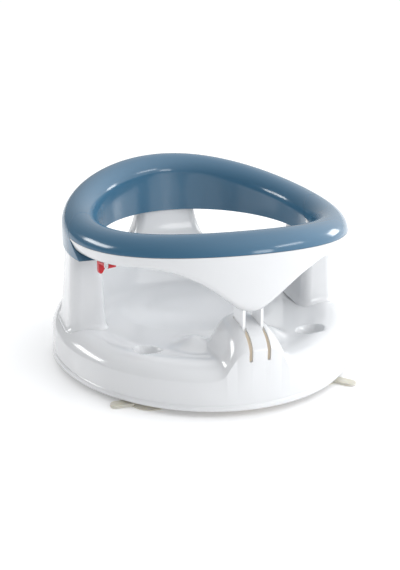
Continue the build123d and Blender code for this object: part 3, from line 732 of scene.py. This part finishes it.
@dataclass
class Bar:
    """The front bar: a blue cap over a white apron that deepens to a tip in the middle.

    The apron's underside is at tip_z + rise (1 - exp(-(x / spread)^2)), with a low bell-shaped arch added on
    each side.
    """

    line: RingLine
    radius: float = 20.1
    wall: float = 2.6
    seam_lift: float = 2.0
    cap_gap: float = 0.35
    tip_z: float = 100.0
    rise: float = 41.5
    spread: float = 40.0
    arch_rise: float = 5.0
    arch_place: float = 84.0
    arch_width: float = 25.0
    taper: float = 0.254
    lean: float = 0.06
    corner: float = 9.0
    end_corner: float = 11.0
    corner_limit: float = 0.48
    stretch_ends: tuple[float, ...] = (0.0, 0.26, 0.44, 0.56, 0.74, 1.0)

    def cap_contour(self, inset: float) -> Contour:
        """The part of a circle above the seam line."""

        def outline(angle: Array, share: Array) -> tuple[Array, Array]:
            """Across is -r cos(turn) and up is r sin(turn), from one side of the seam line to the other."""
            radius = self.radius - inset
            first = math.asin((self.seam_lift + self.cap_gap) / radius)
            turn = first + (math.pi - 2 * first) * share
            return -radius * np.cos(turn), radius * np.sin(turn)

        return outline

    def underside(self, x: Array) -> Array:
        """Height of the apron's underside."""
        arch = self.arch_rise * np.exp(-((np.abs(x) - self.arch_place) / self.arch_width) ** 2)
        return self.tip_z + self.rise * (1 - np.exp(-(x / self.spread) ** 2)) + arch

    def apron_contour(self, inset: float) -> Contour:
        """The apron's section: rear wall, floor and tapered front wall with rounded corners."""

        def outline(angle: Array, share: Array) -> tuple[Array, Array]:
            """Five stretches: straight lines, and corners as (1-k)^2 P + 2k(1-k) Q + k^2 R."""
            centre = self.line.point(angle)
            low = self.underside(centre[..., 0]) - centre[..., 2] + inset
            top = np.full_like(low, self.seam_lift)
            half = self.radius - inset
            rear = np.stack([-half - self.lean * (top - low), low], -1)
            front = np.stack([half - self.taper * (top - low), low], -1)
            rear_top = np.stack([np.full_like(low, -half), top], -1)
            front_top = np.stack([np.full_like(low, half), top], -1)
            share_out = np.abs(centre[..., 0:1]) / self.line.half_width
            corner = self.corner + (self.end_corner - self.corner) * share_out - inset
            stops = self._stops(rear_top, rear, front, front_top, corner)
            return self._walk(stops, share)

        return outline

    def _stops(self, first: Array, second: Array, third: Array, fourth: Array, corner: Array) -> list[Array]:
        """The ends and control points of the five stretches."""

        def towards(start: Array, goal: Array) -> Array:
            """The point a corner's radius away from start."""
            step = goal - start
            length = np.linalg.norm(step, axis=-1, keepdims=True)
            return start + step * np.minimum(corner / length, self.corner_limit)

        return [first, towards(second, first), second, towards(second, third),
                towards(third, second), third, towards(third, fourth), fourth]

    def _walk(self, stops: list[Array], share: Array) -> tuple[Array, Array]:
        """Walks the five stretches, each over its own part of the share."""
        a, b, corner_one, c, d, corner_two, e, f = stops
        wall_one, floor, wall_two = (a, (a + b) / 2, b), (c, (c + d) / 2, d), (e, (e + f) / 2, f)
        stretches = (wall_one, (b, corner_one, c), floor, (d, corner_two, e), wall_two)
        place = np.zeros_like(a)
        for low, high, (p, q, r) in zip(self.stretch_ends[:-1], self.stretch_ends[1:], stretches):
            k = np.clip((share - low) / (high - low), 0.0, 1.0)[..., None]
            here = ((share >= low) & (share <= high))[..., None]
            place = np.where(here, (1 - k) ** 2 * p + 2 * k * (1 - k) * q + k ** 2 * r, place)
        return place[..., 0], place[..., 1]

    def make(self, seam: Seam, palette: Palette) -> None:
        """Builds the cap and the apron."""
        skins = self.cap_contour(0), self.cap_contour(self.wall)
        cap = SweptShell("bar_cap_skin", self.line, seam, *skins, False, self.wall)
        palette.finish(cap.build(), Slot.BLUE, "bar", ["bar_cap"])
        skins = self.apron_contour(0), self.apron_contour(self.wall)
        apron = SweptShell("bar_apron_skin", self.line, seam, *skins, False, self.wall, 300, 90)
        palette.finish(apron.build(), Slot.WHITE, "bar", ["bar_body"])


@dataclass
class Base:
    """The white base as one height over an elliptical plan, in millimetres."""

    half_width: float = 170.0
    front: float = 194.0
    rear: float = 165.0
    centre_y: float = 14.5
    floor_gap: float = 7.0
    band_height: float = 6.0
    band_proud: float = 1.2
    band_lead: float = 4.0
    band_ease: float = 0.25
    band_round: float = 0.6
    wall: float = 2.8
    deck_z: float = 48.0
    rim_rise: float = 4.0
    rim_inner: float = 50.0
    rim_slope: float = 26.0
    shoulder: float = 22.0
    back_rise: float = 50.0
    back_size: tuple[float, float] = (130.0, 128.0)
    back_start: float = -5.0
    back_run: float = 120.0
    back_spread: tuple[float, float] = (22.0, 26.0)
    bowl_depth: float = 9.0
    bowl_size: tuple[float, float] = (91.0, 80.0)
    lobe_rise: float = 11.5
    lobe_place: tuple[float, float] = (42.0, -112.0)
    lobe_size: tuple[float, float] = (16.0, 20.0)
    hump_rise: float = 41.0
    hump_front: float = -150.0
    hump_rear: float = -138.0
    hump_front_run: float = 43.5
    hump_front_drop: float = 29.0
    hump_rear_run: float = 52.0
    hump_half_width: float = 36.5
    hump_drop: float = 48.0
    hump_power: float = 3.2
    hump_root: float = 8.0
    hump_blend: float = 5.5
    hump_front_blend: float = 12.0
    hump_fall: float = 2.0
    dimple_place: tuple[float, float] = (92.0, -95.5)
    dimple_radii: tuple[float, float] = (9.0, 16.0)
    dimple_depth: float = 15.0
    slot_x: tuple[float, float] = (7.6, 11.4)
    slot_y: tuple[float, float] = (-182.0, -129.5)
    slot_z: tuple[float, float] = (57.2, 96.0)
    slot_steps: int = 13
    pole: float = 0.004
    turns: int = 520
    rings: int = 112
    shoulder_rings: int = 12
    inner_rings: int = 26

    def depth(self, v: Array) -> Array:
        """The plan's half length in front of and behind its middle."""
        return np.where(v < 0, self.front, self.rear)

    def hump(self, u: Array, v: Array) -> Array:
        """Height of the hump: a quarter ellipse, a flat top and a half cosine behind, with steep sides."""
        ahead = np.clip((self.hump_front - v) / self.hump_front_run, 0.0, 1.0)
        behind = np.clip((v - self.hump_rear) / self.hump_rear_run, 0.0, 1.0)
        front = self.hump_front_drop * (1 - np.sqrt(1 - ahead ** 2))
        rear = (self.hump_rise + self.hump_root) * 0.5 * (1 - np.cos(math.pi * behind))
        side = self.hump_drop * (np.abs(u) / self.hump_half_width) ** self.hump_power
        fall = self.hump_fall * np.maximum(v - self.hump_rear - self.hump_rear_run, 0.0)
        return self.deck_z + self.hump_rise - front - rear - side - fall

    def seat_back(self, u: Array, v: Array) -> Array:
        """Rise of the seat back: a bell curve across its crest ellipse, growing towards the rear."""
        width, length = self.back_size
        off = (np.sqrt((u / width) ** 2 + (v / length) ** 2) - 1) * length
        spread = np.where(off < 0, self.back_spread[0], self.back_spread[1])
        grow = smooth((v - self.back_start) / self.back_run)
        return self.back_rise * grow * np.exp(-((off / spread) ** 2))

    def height(self, x: Array, y: Array) -> Array:
        """Height of the base's outer skin at places on its plan."""
        u, v = x, y - self.centre_y
        reach = np.sqrt((u / self.half_width) ** 2 + (v / self.depth(v)) ** 2)
        inset = (1 - reach) * self.half_width
        z = self.deck_z + self.rim_rise * smooth((self.rim_inner - inset) / self.rim_slope)
        away = np.clip(self.shoulder - inset, 0.0, self.shoulder)
        z = z - (self.shoulder - np.sqrt(np.maximum(self.shoulder ** 2 - away ** 2, 0.0)))
        z = z + self.seat_back(u, v)
        hollow = (u / self.bowl_size[0]) ** 2 + ((v - 2) / self.bowl_size[1]) ** 2
        z = z - self.bowl_depth * np.clip(1 - hollow, 0.0, 1.0) ** 1.5
        lobe = ((np.abs(u) - self.lobe_place[0]) / self.lobe_size[0]) ** 2
        lobe = lobe + ((v - self.lobe_place[1]) / self.lobe_size[1]) ** 2
        z = z + self.lobe_rise * np.exp(-lobe)
        blend = self.hump_blend + self.hump_front_blend * smooth((self.hump_front - v) / self.hump_front_run)
        z = soft_max(z, self.hump(u, v), blend)
        spot = np.hypot(np.abs(x) - self.dimple_place[0], y - self.dimple_place[1])
        low, high = self.dimple_radii
        return z - self.dimple_depth * (1 - smooth((spot - low) / (high - low)))

    def plan(self, share: Array, turn: Array) -> tuple[Array, Array]:
        """Places on the plan at a share of its size and a turn around it."""
        u = share * self.half_width * np.cos(turn)
        v = share * self.depth(np.sin(turn)) * np.sin(turn)
        return u, v + self.centre_y

    def skin(self, shares: Array, inset: float) -> Array:
        """Rings of one skin from the middle outwards: rings by turns by three."""
        turn = np.linspace(0.0, FULL_TURN, self.turns, endpoint=False)
        x, y = self.plan(shares[:, None], turn[None, :])
        return np.stack([x, y, self.height(x, y) - inset], axis=-1)

    def band(self) -> Array:
        """The slightly proud band around the foot: two rings on the wall, then three around the band."""
        turn = np.linspace(0.0, FULL_TURN, self.turns, endpoint=False)[None, :]
        low, top, proud = self.floor_gap, self.floor_gap + self.band_height, self.band_proud
        steps = ((proud, top + self.band_lead), (proud, top), (self.band_ease, top - proud),
                 (0.0, top - 2 * proud), (0.0, low + self.band_round), (self.band_round, low),
                 (proud + self.wall, low))
        inset, z = np.array(steps).T[:, :, None]
        x, y = self.plan(1 - inset / self.half_width, turn)
        return np.stack([x, y, z + 0 * turn], axis=-1)

    def shares(self) -> Array:
        """Shares of the outer rings: even over the deck, then even in angle round the shoulder."""
        edge = 1 - self.band_proud / self.half_width
        start = edge - self.shoulder / self.half_width
        deck = np.linspace(self.pole, start, self.rings)
        bend = np.linspace(0.0, math.pi / 2, self.shoulder_rings + 1)[1:]
        return np.concatenate([deck, start + (edge - start) * np.sin(bend)])

    def shell(self) -> bpy.types.Object:
        """The closed shell: outer skin, band, and an inner skin one wall below."""
        piece = Piece("base_skin")
        inner_edge = 1 - (self.band_proud + self.wall) / self.half_width
        inner = self.skin(np.linspace(inner_edge, self.pole, self.inner_rings), self.wall)
        piece.add_rod(np.concatenate([self.skin(self.shares(), 0.0), self.band(), inner]))
        return piece.build()

    def cutters(self) -> bpy.types.Object:
        """Two blocks with half-round ends that cut the slots in the hump."""
        piece = Piece("slot_cutters")
        for side in Side:
            low, high = sorted(side.value * edge for edge in self.slot_x)
            middle, half = (low + high) / 2, (high - low) / 2
            turn = np.linspace(math.pi, FULL_TURN, self.slot_steps)
            x = np.concatenate([[high, low], middle + half * np.cos(turn)])
            z = np.concatenate([[self.slot_z[1]] * 2, self.slot_z[0] + half + half * np.sin(turn)])
            piece.add_rod(np.stack([np.stack([x, np.full_like(x, y), z], -1) for y in self.slot_y]))
        return piece.build()

    def make(self, palette: Palette) -> None:
        """Builds the base and cuts its slots."""
        shell, tool = self.shell(), self.cutters()
        cut = shell.modifiers.new("slots", "BOOLEAN")
        cut.operation = "DIFFERENCE"
        cut.solver = "EXACT"
        cut.object = tool
        bpy.context.view_layer.update()
        graph = bpy.context.evaluated_depsgraph_get()
        mesh = bpy.data.meshes.new_from_object(shell.evaluated_get(graph))
        shell.modifiers.clear()
        shell.data = mesh
        mesh.set_sharp_from_angle(angle=SHARP)
        bpy.data.objects.remove(tool)
        palette.finish(shell, Slot.WHITE, "base", ["base_shell"])


@dataclass
class Posts:
    """The three hollow posts, whose feet follow the base and flare into it.

    A section is a rounded rectangle: a corner's centre plus its radius times the cosine and sine of the turn.
    """

    line: RingLine
    base: Base
    foot: tuple[float, float, float, float] = (116.0, 157.5, -22.0, 44.0)
    top: tuple[float, float, float, float] = (118.2, 151.8, -20.0, 38.0)
    foot_z: float = 45.0
    top_z: float = 145.0
    foot_bow: float = 1.0
    corner: float = 12.0
    flare: float = 3.5
    flare_height: float = 4.0
    rear_y: float = 151.0
    rear_top_z: float = 165.0
    rear_size: tuple[float, float] = (69.0, 28.0)
    rear_grow: tuple[float, float] = (69.0, 18.0)
    rear_fall: tuple[tuple[float, float], tuple[float, float]] = ((41.6, 1.6), (55.2, 2.6))
    rear_start_z: float = 60.0
    levels: int = 60
    level_power: float = 1.6
    columns: int = 96
    seat_gap: float = 0.1
    outline_rise: float = 5.5

    @staticmethod
    def rounded(half_a: Array, half_b: Array, corner: Array, turn: Array) -> tuple[Array, Array]:
        """A rounded rectangle about the middle, with its arcs in the four quarter turns."""
        c, s = np.cos(turn), np.sin(turn)
        return np.sign(c) * (half_a - corner) + corner * c, np.sign(s) * (half_b - corner) + corner * s

    def turns(self) -> Array:
        """Turns around a section, which miss the four points where the corner's centre jumps."""
        step = FULL_TURN / self.columns
        return (np.arange(self.columns) + 0.5) * step

    def settle(self, x: Array, y: Array, high: float, shape: Callable) -> Array:
        """Levels of a post from the base's skin up to a flat top.

        Args:
            x: Places of the foot's outline along X.
            y: Places of the foot's outline along Y.
            high: Height of the top.
            shape: Gives X and Y of the outline at heights.

        Returns:
            Levels by columns by three.
        """
        ground = self.base.height(x, y) + self.seat_gap
        share = np.linspace(0.0, 1.0, self.levels)[:, None] ** self.level_power
        z = ground[None, :] + (high - ground)[None, :] * share
        spread = self.flare * np.exp(-(z - ground[None, :]) / self.flare_height)
        px, py = shape(z, spread)
        z[0] = self.base.height(px[0], py[0]) + self.seat_gap
        return np.stack([px, py, z], axis=-1)

    def side_shape(self, side: Side, turn: Array) -> Callable:
        """The bent section of a side post at heights, with its outline spread by the flare."""
        bend = [self.line.half_width_at(y) for y in (self.top[2], self.top[3])]
        middle = self.line.half_width_at((self.top[2] + self.top[3]) / 2)
        top_turn, top_bow = bend[0] - bend[1], middle - sum(bend) / 2

        def shape(z: Array, spread: Array) -> tuple[Array, Array]:
            """Outline at each height: sizes and bend go evenly from foot to top."""
            up = np.clip((z - self.foot_z) / (self.top_z - self.foot_z), 0.0, 1.0)
            inner, outer, front, back = (a + (b - a) * up for a, b in zip(self.foot, self.top))
            across, along = (outer - inner) / 2 + spread, (back - front) / 2 + spread
            dx, dy = self.rounded(across, along, self.corner + spread, turn[None, :])
            share = dy / along
            bow = self.foot_bow + (top_bow - self.foot_bow) * up
            shift = bow * (1 - share ** 2) - top_turn * up * (share + 1) / 2
            return side.value * ((outer + inner) / 2 + shift + dx), (front + back) / 2 + dy

        return shape

    def rear_shape(self, turn: Array) -> Callable:
        """The rear post's section: width and depth fall as exp(-(rise / length)^power) to their top sizes."""

        def shape(z: Array, spread: Array) -> tuple[Array, Array]:
            """Outline at each height."""
            rise = np.maximum(z - self.rear_start_z, 0.0)
            sizes = [size + grow * np.exp(-(rise / length) ** power)
                     for size, grow, (length, power) in zip(self.rear_size, self.rear_grow, self.rear_fall)]
            half_width, half_depth = sizes[0] / 2 + spread, sizes[1] / 2 + spread
            dx, dy = self.rounded(half_width, half_depth, self.corner + spread, turn[None, :])
            return dx, self.rear_y + dy

        return shape

    def post(self, name: str, shape: Callable, low: float, high: float,
             wall: float = 2.6) -> bpy.types.Object:
        """One post: an outer skin, an inner skin and a closed top plate.

        Args:
            name: The piece's name.
            shape: Gives the outline at heights.
            low: Height of the foot's own section.
            high: Height of the top.
            wall: Thickness of the walls.

        Returns:
            The new object.
        """
        zero = np.zeros((1, self.columns))
        x, y = shape(zero + low + self.outline_rise, zero)
        outer = self.settle(x[0], y[0], high, shape)
        inner = self.settle(x[0], y[0], high - wall, lambda z, spread: shape(z, spread - wall))
        piece = Piece(name)
        first = piece.add_grid(outer, closed=True)
        second = piece.add_grid(inner, closed=True, flip=True)
        columns = np.arange(self.columns)
        piece.add_strip(second + columns, first + columns, closed=True)
        last = (self.levels - 1) * self.columns
        piece.polygons += [list(first + last + columns), list((second + last + columns)[::-1])]
        return piece.build()

    def make(self, palette: Palette) -> None:
        """Builds the two side posts and the rear post."""
        turn = self.turns()
        for side, name in ((Side.LEFT, "left_post"), (Side.RIGHT, "right_post")):
            made = self.post(name + "_skin", self.side_shape(side, turn), self.foot_z, self.top_z)
            palette.finish(made, Slot.WHITE, "base", [name])
        made = self.post("rear_post_skin", self.rear_shape(turn), self.rear_start_z, self.rear_top_z)
        palette.finish(made, Slot.WHITE, "base", ["rear_post"])


@dataclass
class Lugs:
    """The two lugs under the apron's left end that hold the lever's pin, half round below."""

    pivot: tuple[float, float, float] = (-121.97, -70.54, 136.4)
    axis: tuple[float, float] = (0.9396, 0.3423)
    radius: float = 2.4
    near: float = 4.9
    far: float = 6.7
    top_z: float = 144.0
    steps: int = 24

    def make(self, palette: Palette) -> None:
        """Builds both lugs as one piece of the apron."""
        turn = np.linspace(0.0, -math.pi, self.steps)
        along = np.concatenate([self.radius * np.cos(turn), [-self.radius, self.radius]])
        up = np.concatenate([self.pivot[2] + self.radius * np.sin(turn), [self.top_z] * 2])
        piece = Piece("lever_lugs")
        for side in Side:
            rings = []
            for reach in (side.value * self.near, side.value * self.far):
                x = self.pivot[0] + reach * self.axis[0] - along * self.axis[1]
                y = self.pivot[1] + reach * self.axis[1] + along * self.axis[0]
                rings.append(np.stack([x, y, up], axis=-1))
            piece.add_rod(np.stack(rings), flip=side is Side.LEFT)
        made = piece.build()
        palette.finish(made, Slot.WHITE, "bar", [])


@dataclass
class BarScrews:
    """Four domed screw heads with crossed slots under the apron, each on a short shank inside it."""

    bar: Bar
    angles_deg: tuple[float, ...] = (222.0, 243.0, 297.0, 333.0)
    head_radius: float = 3.2
    dome: float = 0.7
    head_height: float = 2.0
    shank_radius: float = 1.6
    shank_length: float = 9.0
    cross_half_width: float = 0.45
    cross_half_length: float = 1.9
    cross_depth: float = 0.8
    cross_edge: float = 0.2
    cross_end: float = 0.3
    pole: float = 0.02
    rings: int = 26
    turns: int = 72

    def head(self, place: Array) -> Array:
        """Rings of one screw from the middle of its head, round its edge and up to the end of its shank."""
        share = np.linspace(self.pole, 1.0, self.rings)[:, None]
        turn = np.linspace(0.0, FULL_TURN, self.turns, endpoint=False)[None, :]
        x, y = self.head_radius * share * np.cos(turn), self.head_radius * share * np.sin(turn)
        slack = self.cross_half_width + self.cross_edge / 2 - np.minimum(np.abs(x), np.abs(y))
        narrow = smooth(slack / self.cross_edge)
        short = smooth((self.cross_half_length - np.maximum(np.abs(x), np.abs(y))) / self.cross_end)
        z = self.cross_depth * narrow * short - self.dome * np.sqrt(1 - share ** 2)
        rings = [np.stack([x, y, z + 0 * turn], axis=-1)]
        for radius, rise in ((self.head_radius, self.head_height), (self.shank_radius, self.head_height),
                             (self.shank_radius, self.shank_length)):
            rings.append(np.stack([radius * np.cos(turn), radius * np.sin(turn), rise + 0 * turn], axis=-1))
        return np.concatenate(rings) + place

    def make(self, palette: Palette) -> None:
        """Builds the four screws as one piece."""
        piece = Piece("bar_screw_heads")
        for angle in np.radians(self.angles_deg):
            place = self.bar.line.point(angle)
            place[2] = self.bar.underside(place[0])
            piece.add_rod(self.head(place))
        made = piece.build()
        palette.finish(made, Slot.STEEL, "bar", ["bar_screws"])


@dataclass
class Spring:
    """The small coil over the lever's arm, which on the seat flattens as the lever is squeezed: here one wire
    on a helix of one fixed shape.

    A point of the coil at a turn t is (radius cos t, radius sin t, rise t over its whole turn); around it the
    wire's circle is spanned by the level outward direction and Z.
    """

    pivot: tuple[float, float] = (-121.97, -70.54)
    arm: tuple[float, float] = (-0.3423, 0.9396)
    place: float = 10.0
    low_z: float = 137.65
    high_z: float = 141.3
    radius: float = 2.6
    wire: float = 0.3
    turns: int = 3
    steps: int = 32
    sides: int = 10
    fixed_z: float = 141.35
    kept: float = 0.5

    def make(self, palette: Palette) -> None:
        """Builds the coil."""
        turn = np.linspace(0.0, FULL_TURN * self.turns, self.turns * self.steps + 1)[:, None]
        around = np.linspace(0.0, FULL_TURN, self.sides, endpoint=False)[None, :]
        reach = self.radius + self.wire * np.cos(around)
        rise = (self.high_z - self.low_z - 2 * self.wire) * turn / turn[-1]
        middle = [pivot + self.place * step for pivot, step in zip(self.pivot, self.arm)]
        coil = np.stack([middle[0] + reach * np.cos(turn), middle[1] + reach * np.sin(turn),
                         self.low_z + self.wire + rise + self.wire * np.sin(around)], axis=-1)
        piece = Piece("lever_spring_coil")
        piece.add_rod(coil)
        made = piece.build()
        palette.finish(made, Slot.STEEL, "bar", ["lever_spring"])
        anchor = (middle[0] * MM, middle[1] * MM, self.fixed_z * MM)
        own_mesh(made)


@dataclass
class Hardware:
    """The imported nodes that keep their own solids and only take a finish."""

    finishes: dict[Slot, tuple[str, ...]] = field(default_factory=lambda: {
        Slot.WHITE: ("bar_stem",),
        Slot.RED: ("release_lever",),
        Slot.BEIGE: ("hinge_block",),
        Slot.CUP: ("front_left_cup", "front_right_cup", "rear_left_cup", "rear_right_cup"),
        Slot.STEEL: ("hinge_pin", "lever_pin", "hinge_screws", "post_screws", "ring_screws", "stem_screws"),
    })

    def make(self, palette: Palette) -> None:
        """Dresses each node."""
        for slot, names in self.finishes.items():
            for name in names:
                palette.dress(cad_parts[name], slot)
                LOG.info("%s keeps its solid", name)
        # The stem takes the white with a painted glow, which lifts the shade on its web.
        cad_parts["bar_stem"].data.materials[0] = palette.white_painted_glow


@dataclass(frozen=True)
class Softbox:
    """A rectangular light by its direction from the seat, its size in degrees and its brightness.

    The azimuth is 0 in front of the seat and 90 on its right.
    """

    name: str
    azimuth_deg: float
    elevation_deg: float
    width_deg: float
    height_deg: float
    radiance: float
    distance: float = 1.5


@dataclass
class Studio:
    """A pale floor, a white surround, soft lights and the photograph's camera."""

    image_size: tuple[float, float] = (400.0, 570.0)
    focal_px: float = 940.0
    sensor: float = 36.0
    azimuth_deg: float = 18.56
    elevation_deg: float = 18.48
    distance: float = 1.079
    target: tuple[float, float, float] = (0.0, 0.0145, 0.107)
    shift_right: float = -0.0020
    shift_up: float = 0.0299
    floor_size: float = 30.0
    floor_glow: float = 0.26
    floor_painted_shade: float = 0.08
    painted_shade_radius: float = 0.7
    floor_light: Colour = (0.90, 0.90, 0.90)
    floor_dark: Colour = (0.88, 0.88, 0.885)
    air: tuple[float, float, float, float] = (0.97, 0.985, 1.0, 1.0)
    dim: float = 0.03
    bright: float = 1.90
    bright_power: float = 2.2
    bright_side: tuple[float, float, float] = (0.70, -0.10, 0.70)
    softboxes: tuple[Softbox, ...] = (
        Softbox("left_box", -116.0, 19.0, 26.0, 9.0, 10.0),
        Softbox("front_low_box", 21.0, 9.0, 15.0, 11.0, 6.0),
        Softbox("front_right_box", 48.0, 22.0, 26.0, 6.0, 7.0),
        Softbox("right_box", 104.0, 12.0, 14.0, 12.0, 8.0),
    )

    def camera(self) -> None:
        """Places the camera: back along its axis from the target, then moved in its own plane."""
        az, el = math.radians(self.azimuth_deg), math.radians(self.elevation_deg)
        back = Vector((-math.sin(az) * math.cos(el), -math.cos(az) * math.cos(el), math.sin(el)))
        right = Vector((math.cos(az), -math.sin(az), 0.0))
        up = back.cross(right)
        place = Vector(self.target) + back * self.distance - right * self.shift_right - up * self.shift_up
        lens = bpy.data.cameras.new("camera")
        lens.sensor_fit = "VERTICAL"
        lens.sensor_height = self.sensor
        lens.lens = self.focal_px / self.image_size[1] * self.sensor
        camera = bpy.data.objects.new("camera", lens)
        turn = Matrix((right, up, back)).transposed().to_4x4()
        camera.matrix_world = Matrix.Translation(place) @ turn
        bpy.context.scene.collection.objects.link(camera)
        bpy.context.scene.camera = camera

    def softbox(self, box: Softbox) -> None:
        """Adds one rectangular light that faces the seat.

        Args:
            box: Its direction, size and brightness.
        """
        az, el = math.radians(box.azimuth_deg), math.radians(box.elevation_deg)
        towards = Vector((math.sin(az) * math.cos(el), -math.cos(az) * math.cos(el), math.sin(el)))
        light = bpy.data.lights.new(box.name, "AREA")
        light.shape = "RECTANGLE"
        light.size = 2 * box.distance * math.tan(math.radians(box.width_deg) / 2)
        light.size_y = 2 * box.distance * math.tan(math.radians(box.height_deg) / 2)
        light.energy = box.radiance * math.pi * light.size * light.size_y
        lamp = bpy.data.objects.new(box.name, light)
        place = Vector(self.target) + towards * box.distance
        lamp.matrix_world = Matrix.Translation(place) @ towards.to_track_quat("Z", "Y").to_matrix().to_4x4()
        bpy.context.scene.collection.objects.link(lamp)

    def floor(self) -> None:
        """A wide pale floor with a faint gloss and an even glow, dimmed near the seat as a painted shade
        around it.
        """
        half = self.floor_size / 2 / MM
        piece = Piece("floor")
        corners = ((-half, -half, 0), (half, -half, 0), (half, half, 0), (-half, half, 0))
        first = piece.add_points(np.array(corners, float))
        piece.polygons.append(list(range(first, first + len(corners))))
        plane = piece.build()
        shader = MaterialShader("floor")
        cloud = shader.noise(0.8, 2.0)
        # Painted shade: the floor's glow is lowered near the seat, most at the middle and fading over the
        # radius.
        reach = shader.node("ShaderNodeVectorMath", {"operation": "LENGTH"}, {0: shader.place()}, "Value")
        fall = (reach * (1 / self.painted_shade_radius)) ** 2.0 * -1.0
        painted_shade = self.floor_painted_shade * shader.node("ShaderNodeMath", {"operation": "EXPONENT"}, {0: fall})
        plane.data.materials.append(shader.surface({
            "Base Color": shader.blend(cloud, self.floor_light, self.floor_dark),
            "Roughness": 0.3 + 0.04 * cloud,
            "Emission Color": shader.grey(self.floor_glow - painted_shade),
            "Emission Strength": 1.0,
        }))

    def surround(self) -> None:
        """The surround: dim in front on the left, bright behind on the right, and white to the camera."""
        world = bpy.data.worlds.new("surround")
        world.use_nodes = True
        shader = Shader(world.node_tree)
        way = shader.node("ShaderNodeTexCoord", {}, {}, "Generated")
        side = Vector(self.bright_side).normalized()
        turn = shader.node("ShaderNodeVectorMath", {"operation": "DOT_PRODUCT"}, {0: way, 1: side}, "Value")
        share = turn * 0.5 + 0.5
        level = self.dim + (self.bright - self.dim) * share ** self.bright_power
        seen = shader.node("ShaderNodeLightPath", {}, {}, "Is Camera Ray")
        sockets = {"Color": self.air, "Strength": level + (1.0 - level) * seen}
        shader.end("ShaderNodeOutputWorld", shader.node("ShaderNodeBackground", {}, sockets))
        bpy.context.scene.world = world

    def make(self) -> None:
        """Sets up the whole studio."""
        bpy.context.scene.view_settings.view_transform = "Standard"
        self.camera()
        self.floor()
        self.surround()
        for box in self.softboxes:
            self.softbox(box)


def main() -> None:
    """Builds the studio and every sub-assembly in order."""
    logging.basicConfig(level=logging.INFO, format="%(name)s %(message)s")
    Studio().make()
    palette = Palette()
    line, seam, base = RingLine(), Seam(), Base()
    base.make(palette)
    Posts(line, base).make(palette)
    Ring(line).make(seam, palette)
    bar = Bar(line)
    bar.make(seam, palette)
    BarScrews(bar).make(palette)
    Lugs().make(palette)
    Spring().make(palette)
    Hardware().make(palette)


if __name__ == "__main__":
    main()
